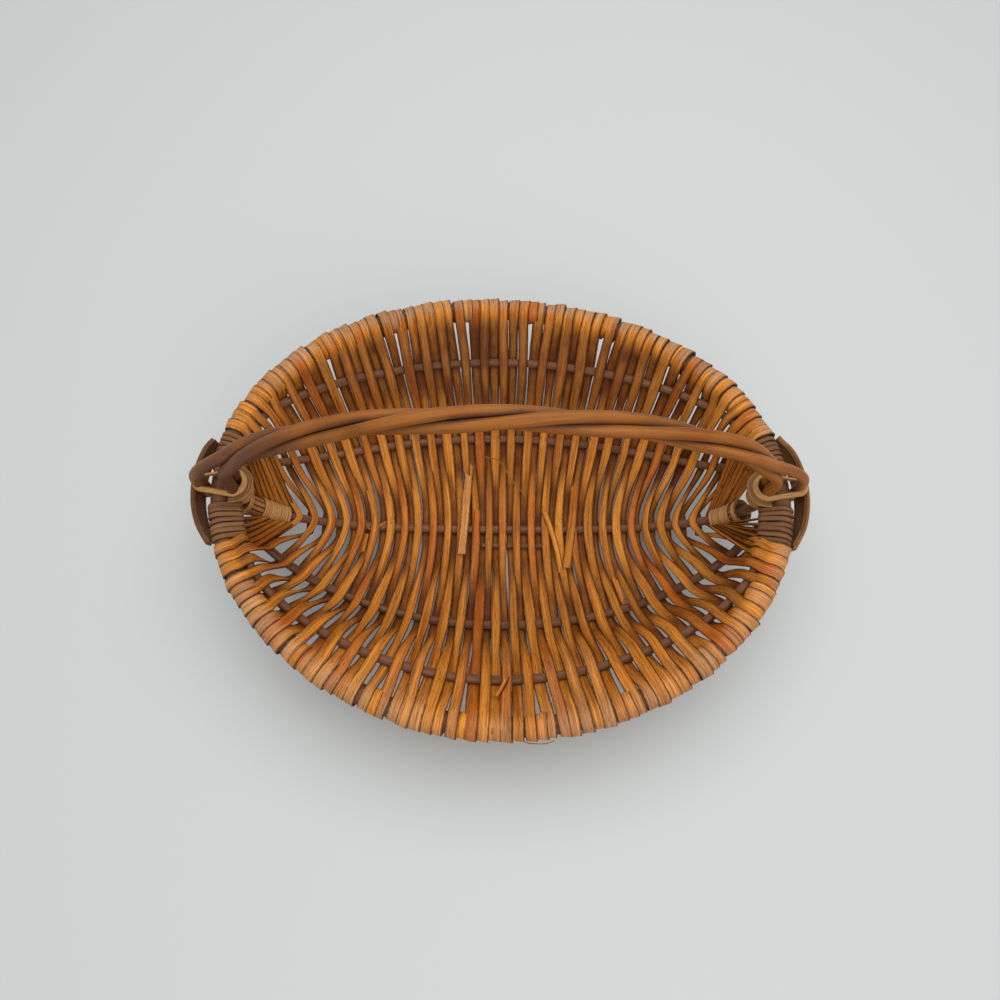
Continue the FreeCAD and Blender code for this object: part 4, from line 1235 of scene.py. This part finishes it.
def roll_axis(end, shares):
    """Middle, run and upward side of the roll at shares of its length, from its tip."""
    keel = ribs["keel_rib"][::-end]
    runs = run_of(keel)
    half = len(keel) // 2
    tip_run = np.interp(-(WOVEN_LENGTH + ROLL_ROOM), -np.abs(keel[:half, 0]), runs[:half])
    places = tip_run - np.asarray(shares) * ROLL_LENGTH[end]
    middles, ahead = [at_runs(places - step, keel, runs) for step in (0.0, 0.5)]
    ways = unit(ahead - middles)
    return middles, ways, unit(np.cross(ways, BACK) * -end)


def roll_reach(share):
    return ROLL_TIP + (ROLL_BUTT - ROLL_TIP) * share


print("rolls:", list(ROLL_LENGTH.values()), "mm long")

# %% Roll strips and rings
ROLL_BORE = 3.5
ROLL_STRIPS = 12
ROLL_STEPS = 16
RING_PITCH = 2.2
ring_turns = np.linspace(0, 2 * math.pi, 40, endpoint=False)


def roll_strip(end, number):
    shares = np.linspace(0.02, 0.99, ROLL_STEPS)
    middles, ways, rises = roll_axis(end, shares)
    turn = 2 * math.pi * number / ROLL_STRIPS
    normals = BACK * math.cos(turn) + rises * math.sin(turn)
    reach = 0.6 + ROLL_BORE + (roll_reach(shares) - 1.0 - ROLL_BORE) * 0.6
    halves = np.cross(ways, normals) * (reach * 0.24)[:, None]
    line = middles + normals * reach[:, None]
    return splint_form(line, halves, np.zeros(ROLL_STEPS), thickness=1.0, tone=0.9, stain=0.5)


def roll_ring(end, share):
    middle, way, rise = [values[0] for values in roll_axis(end, [share])]
    reach = roll_reach(share) - 0.7 + chance.uniform(-0.1, 0.25)
    normals = swing(BACK, rise, ring_turns)
    places = middle + way * (0.5 * np.sin(ring_turns + 0.7))[:, None] + normals * reach
    across = np.tile(SECTION_ACROSS * RING_PITCH * 0.52, (len(ring_turns), 1))
    looks = {"tone": chance.uniform(0, 0.6), "closed": True}
    return strip_skin(places, way, normals, across, crowned(0.8, 0.4), ring_turns * reach, **looks)


print("rings are", RING_PITCH, "mm apart")

# %% End rolls
RINGED_SHARE = {-1: 0.62, 1: 0.8}
BUTT_RINGS = [0.93, 0.985]
for end, word in ENDS:
    forms = [roll_strip(end, number) for number in range(ROLL_STRIPS)]
    ring_count = int(ROLL_LENGTH[end] * RINGED_SHARE[end] / RING_PITCH)
    ring_shares = [(number + 0.6) * RING_PITCH / ROLL_LENGTH[end] for number in range(ring_count)]
    forms += [roll_ring(end, share) for share in ring_shares + BUTT_RINGS]
    make_piece(f"{word}_bound_roll", forms, cup_wood, "end_splints", f"{word}_end_roll")
print("end rolls:", ROLL_STRIPS, "strips each")

# %% [markdown]
# ## Gathered splints
# The last splints at each end do not cross the keel. They come from the lashed part of the rim and are
# gathered into the roll, and close the corners beside it. Each is one cubic curve that sags a little.

# %% Gathered splints
GATHERED = 7
GATHER_STEPS = 22
FIRST_SHARE = -0.14
SHARE_SPREAD = 0.75
FIRST_RUN = 47.0
RUN_SPREAD = 28.0


def gathered_splint(side, end, number):
    share = number / (GATHERED - 1)
    middle, way, rise = [values[0] for values in roll_axis(end, [FIRST_SHARE + SHARE_SPREAD * share])]
    start = middle + BACK * (side * (3.0 + 3.0 * share)) + rise * chance.uniform(-2, 1)
    run = FIRST_RUN - RUN_SPREAD * share
    last = beside_rim(side, end, run, lashing_reach - 1.5, math.radians(6 + 10 * share))
    before = start + (last - start) * 0.35 - UP
    after = start + (last - start) * 0.7 - UP * 1.5
    shares = np.linspace(0, 1, GATHER_STEPS)
    middles = bezier(start, before, after, last, shares)
    flat = unit(np.cross(ways_along(middles), UP) * -side)
    halves = flat * (2.1 + 0.9 * ease(0.0, 0.8, shares))[:, None]
    looks = {"stain": chance.uniform(0.1, 0.7), "tone": chance.beta(1.1, 1.1)}
    return splint_form(middles, halves, np.full(GATHER_STEPS, 0.2), **looks)


for end, word in ENDS:
    forms = [gathered_splint(side, end, number) for side in (-1, 1) for number in range(GATHERED)]
    make_piece(f"{word}_gathered_splints", forms, splint_wood, "splints")
print("gathered splints:", 2 * GATHERED, "at each end")

# %% [markdown]
# ## Loose ends
# Where one splint runs out the next is laid over it, and the cut end stays to be seen on the floor. A few
# slivers and fibres have also lifted with age. Each is a short strip or a thin rod through a few places just
# above the weave, so they are written as places and joined with a smooth curve.

# %% Loose end makers
FLOOR_TOP = KEEL_LEVEL + rib_wrap + SPLINT
LOOSE_STEPS = 24


def through_places(places):
    """A smooth line through a few places, from each place's neighbours."""
    places = np.asarray(places, float)
    spread = np.concatenate([places[:1], places, places[-1:]])
    shares = np.linspace(0, 1, LOOSE_STEPS // (len(places) - 1) + 1)
    spans = []
    for number in range(len(places) - 1):
        before, first, second, after = spread[number:number + 4]
        span = bezier(first, first + (second - before) / 6, second - (after - first) / 6, second, shares)
        spans.append(span[number > 0:])
    return np.concatenate(spans)


def loose_strip(places, width, tone, stain=0.0):
    middles = through_places([vec(x, y, FLOOR_TOP + rise) for x, y, rise in places])
    halves = unit(np.cross(ways_along(middles), UP)) * width / 2
    return splint_form(middles, halves, np.full(len(middles), 0.03), tone=tone, stain=stain)


def fibre(places, radius, tone, stain):
    return rod_form(through_places(places), radius, vec(0.02, 0.01, 1), around=8, tone=tone, stain=stain)


print("floor of the weave at", round(FLOOR_TOP, 1), "mm")

# %% Loose ends
loose_forms = [
    loose_strip([(-24, 58, -8.0), (-25, 36, -2.5), (-26.5, 8, 1.0), (-28.5, -21, 1.2)], 7.2, 0.05, -0.5),
    loose_strip([(58, 46, -8.0), (57, 26, -1.5), (54, 0, 1.0), (50, -31, 1.0)], 6.6, 0.55),
    loose_strip([(34, 13, 0.3), (40, -6, 1.4), (44, -22, -1.0), (47, -38, -7.0)], 4.4, 0.2),
    loose_strip([(-17, 13, 1.2), (-17.5, 2, 0.8), (-18, -16, -2.5), (-18, -30, -8.0)], 5.2, 1.0),
    loose_strip([(-108, -46, -6.0), (-104, -26, -0.5), (-100, -6, 1.2)], 4.6, 0.35),
    loose_strip([(92, -62, 4.0), (87, -46, 2.5), (82, -24, -4.0)], 5.0, 0.9),
    fibre([(-12, 57, 12), (0, 52, 13.5), (9, 37, 12.5), (19, 26, 11)], 0.4, 0.3, 1.0),
    fibre([(-103, 10, 12.5), (-98, -3, 14), (-92, -1, 13), (-85, 4, 11)], 0.5, 1.0, 0.0),
    fibre([(14, -157.5, 69), (19, -159.9, 68.5), (29, -160.2, 68), (35, -158.4, 68)], 0.3, 0.2, 0.8),
]
sliver = through_places([vec(-1, -131, 65), vec(3, -124, 60), vec(8, -112, 45)])
sliver_halves = np.tile(vec(2.1, 0.4, 0.2), (len(sliver), 1))
loose_forms.append(splint_form(sliver, sliver_halves, np.full(len(sliver), 0.1), tone=0.4))
make_piece("loose_ends", loose_forms, splint_wood, "splints")
print("loose ends:", len(loose_forms))

# %% [markdown]
# ## Floor and light
# The floor is a plain pale sheet. One large soft lamp hangs above and a little behind the basket, a weaker
# one fills from the front, and the world adds an even pale light. Their levels are chosen so that a colour
# renders about as it is written. The world is white where it is seen, straight or in a shine.

# %% Floor
FLOOR_HALF = 3
FLOOR_COLOUR = (0.565, 0.59, 0.585, 1)
corners = [(x * FLOOR_HALF, y * FLOOR_HALF, 0) for x, y in ((-1, -1), (1, -1), (1, 1), (-1, 1))]
floor_mesh = bpy.data.meshes.new("floor")
floor_mesh.from_pydata(corners, [], [(0, 1, 2, 3)])
floor = put("floor", floor_mesh)
floor_paint = bpy.data.materials.new("pale_floor")
floor_paint.use_nodes = True
floor_shader = floor_paint.node_tree.nodes["Principled BSDF"]
floor_shader.inputs["Base Color"].default_value = FLOOR_COLOUR
floor_shader.inputs["Roughness"].default_value = 0.6
floor_mesh.materials.append(floor_paint)
print("floor:", 2 * FLOOR_HALF, "m wide")

# %% Light
LAMP_TARGET = Vector((0, 0, 0.05))
WORLD_LEVEL = 0.42


def soft_lamp(name, place, width, power):
    lamp = bpy.data.lights.new(name, "AREA")
    lamp.shape = "DISK"
    lamp.size = width
    lamp.energy = power
    holder = put(name, lamp)
    holder.location = place
    holder.rotation_euler = (LAMP_TARGET - Vector(place)).to_track_quat("-Z", "Y").to_euler()


soft_lamp("top_lamp", (0.1, 0.3, 1.5), 1.8, 18.5)
soft_lamp("front_lamp", (0.3, -1.3, 1.2), 1.2, 7.0)
world = bpy.data.worlds.new("studio")
world.use_nodes = True
world_tree = world.node_tree
sky = world_tree.nodes["Background"]
sky.inputs["Color"].default_value = (1.0, 1.0, 1.0, 1)
rays = add_node(world_tree, "ShaderNodeLightPath").outputs
seen = math_node(world_tree, "MAXIMUM", rays["Is Camera Ray"], rays["Is Glossy Ray"])
seen = math_node(world_tree, "MAXIMUM", seen, rays["Is Transmission Ray"])
added = math_node(world_tree, "MULTIPLY", seen, 1 - WORLD_LEVEL)
strength = math_node(world_tree, "ADD", added, WORLD_LEVEL)
world_tree.links.new(strength, sky.inputs["Strength"])
bpy.context.scene.world = world
bpy.context.scene.view_settings.view_transform = "Standard"
print("two lamps and a pale world")
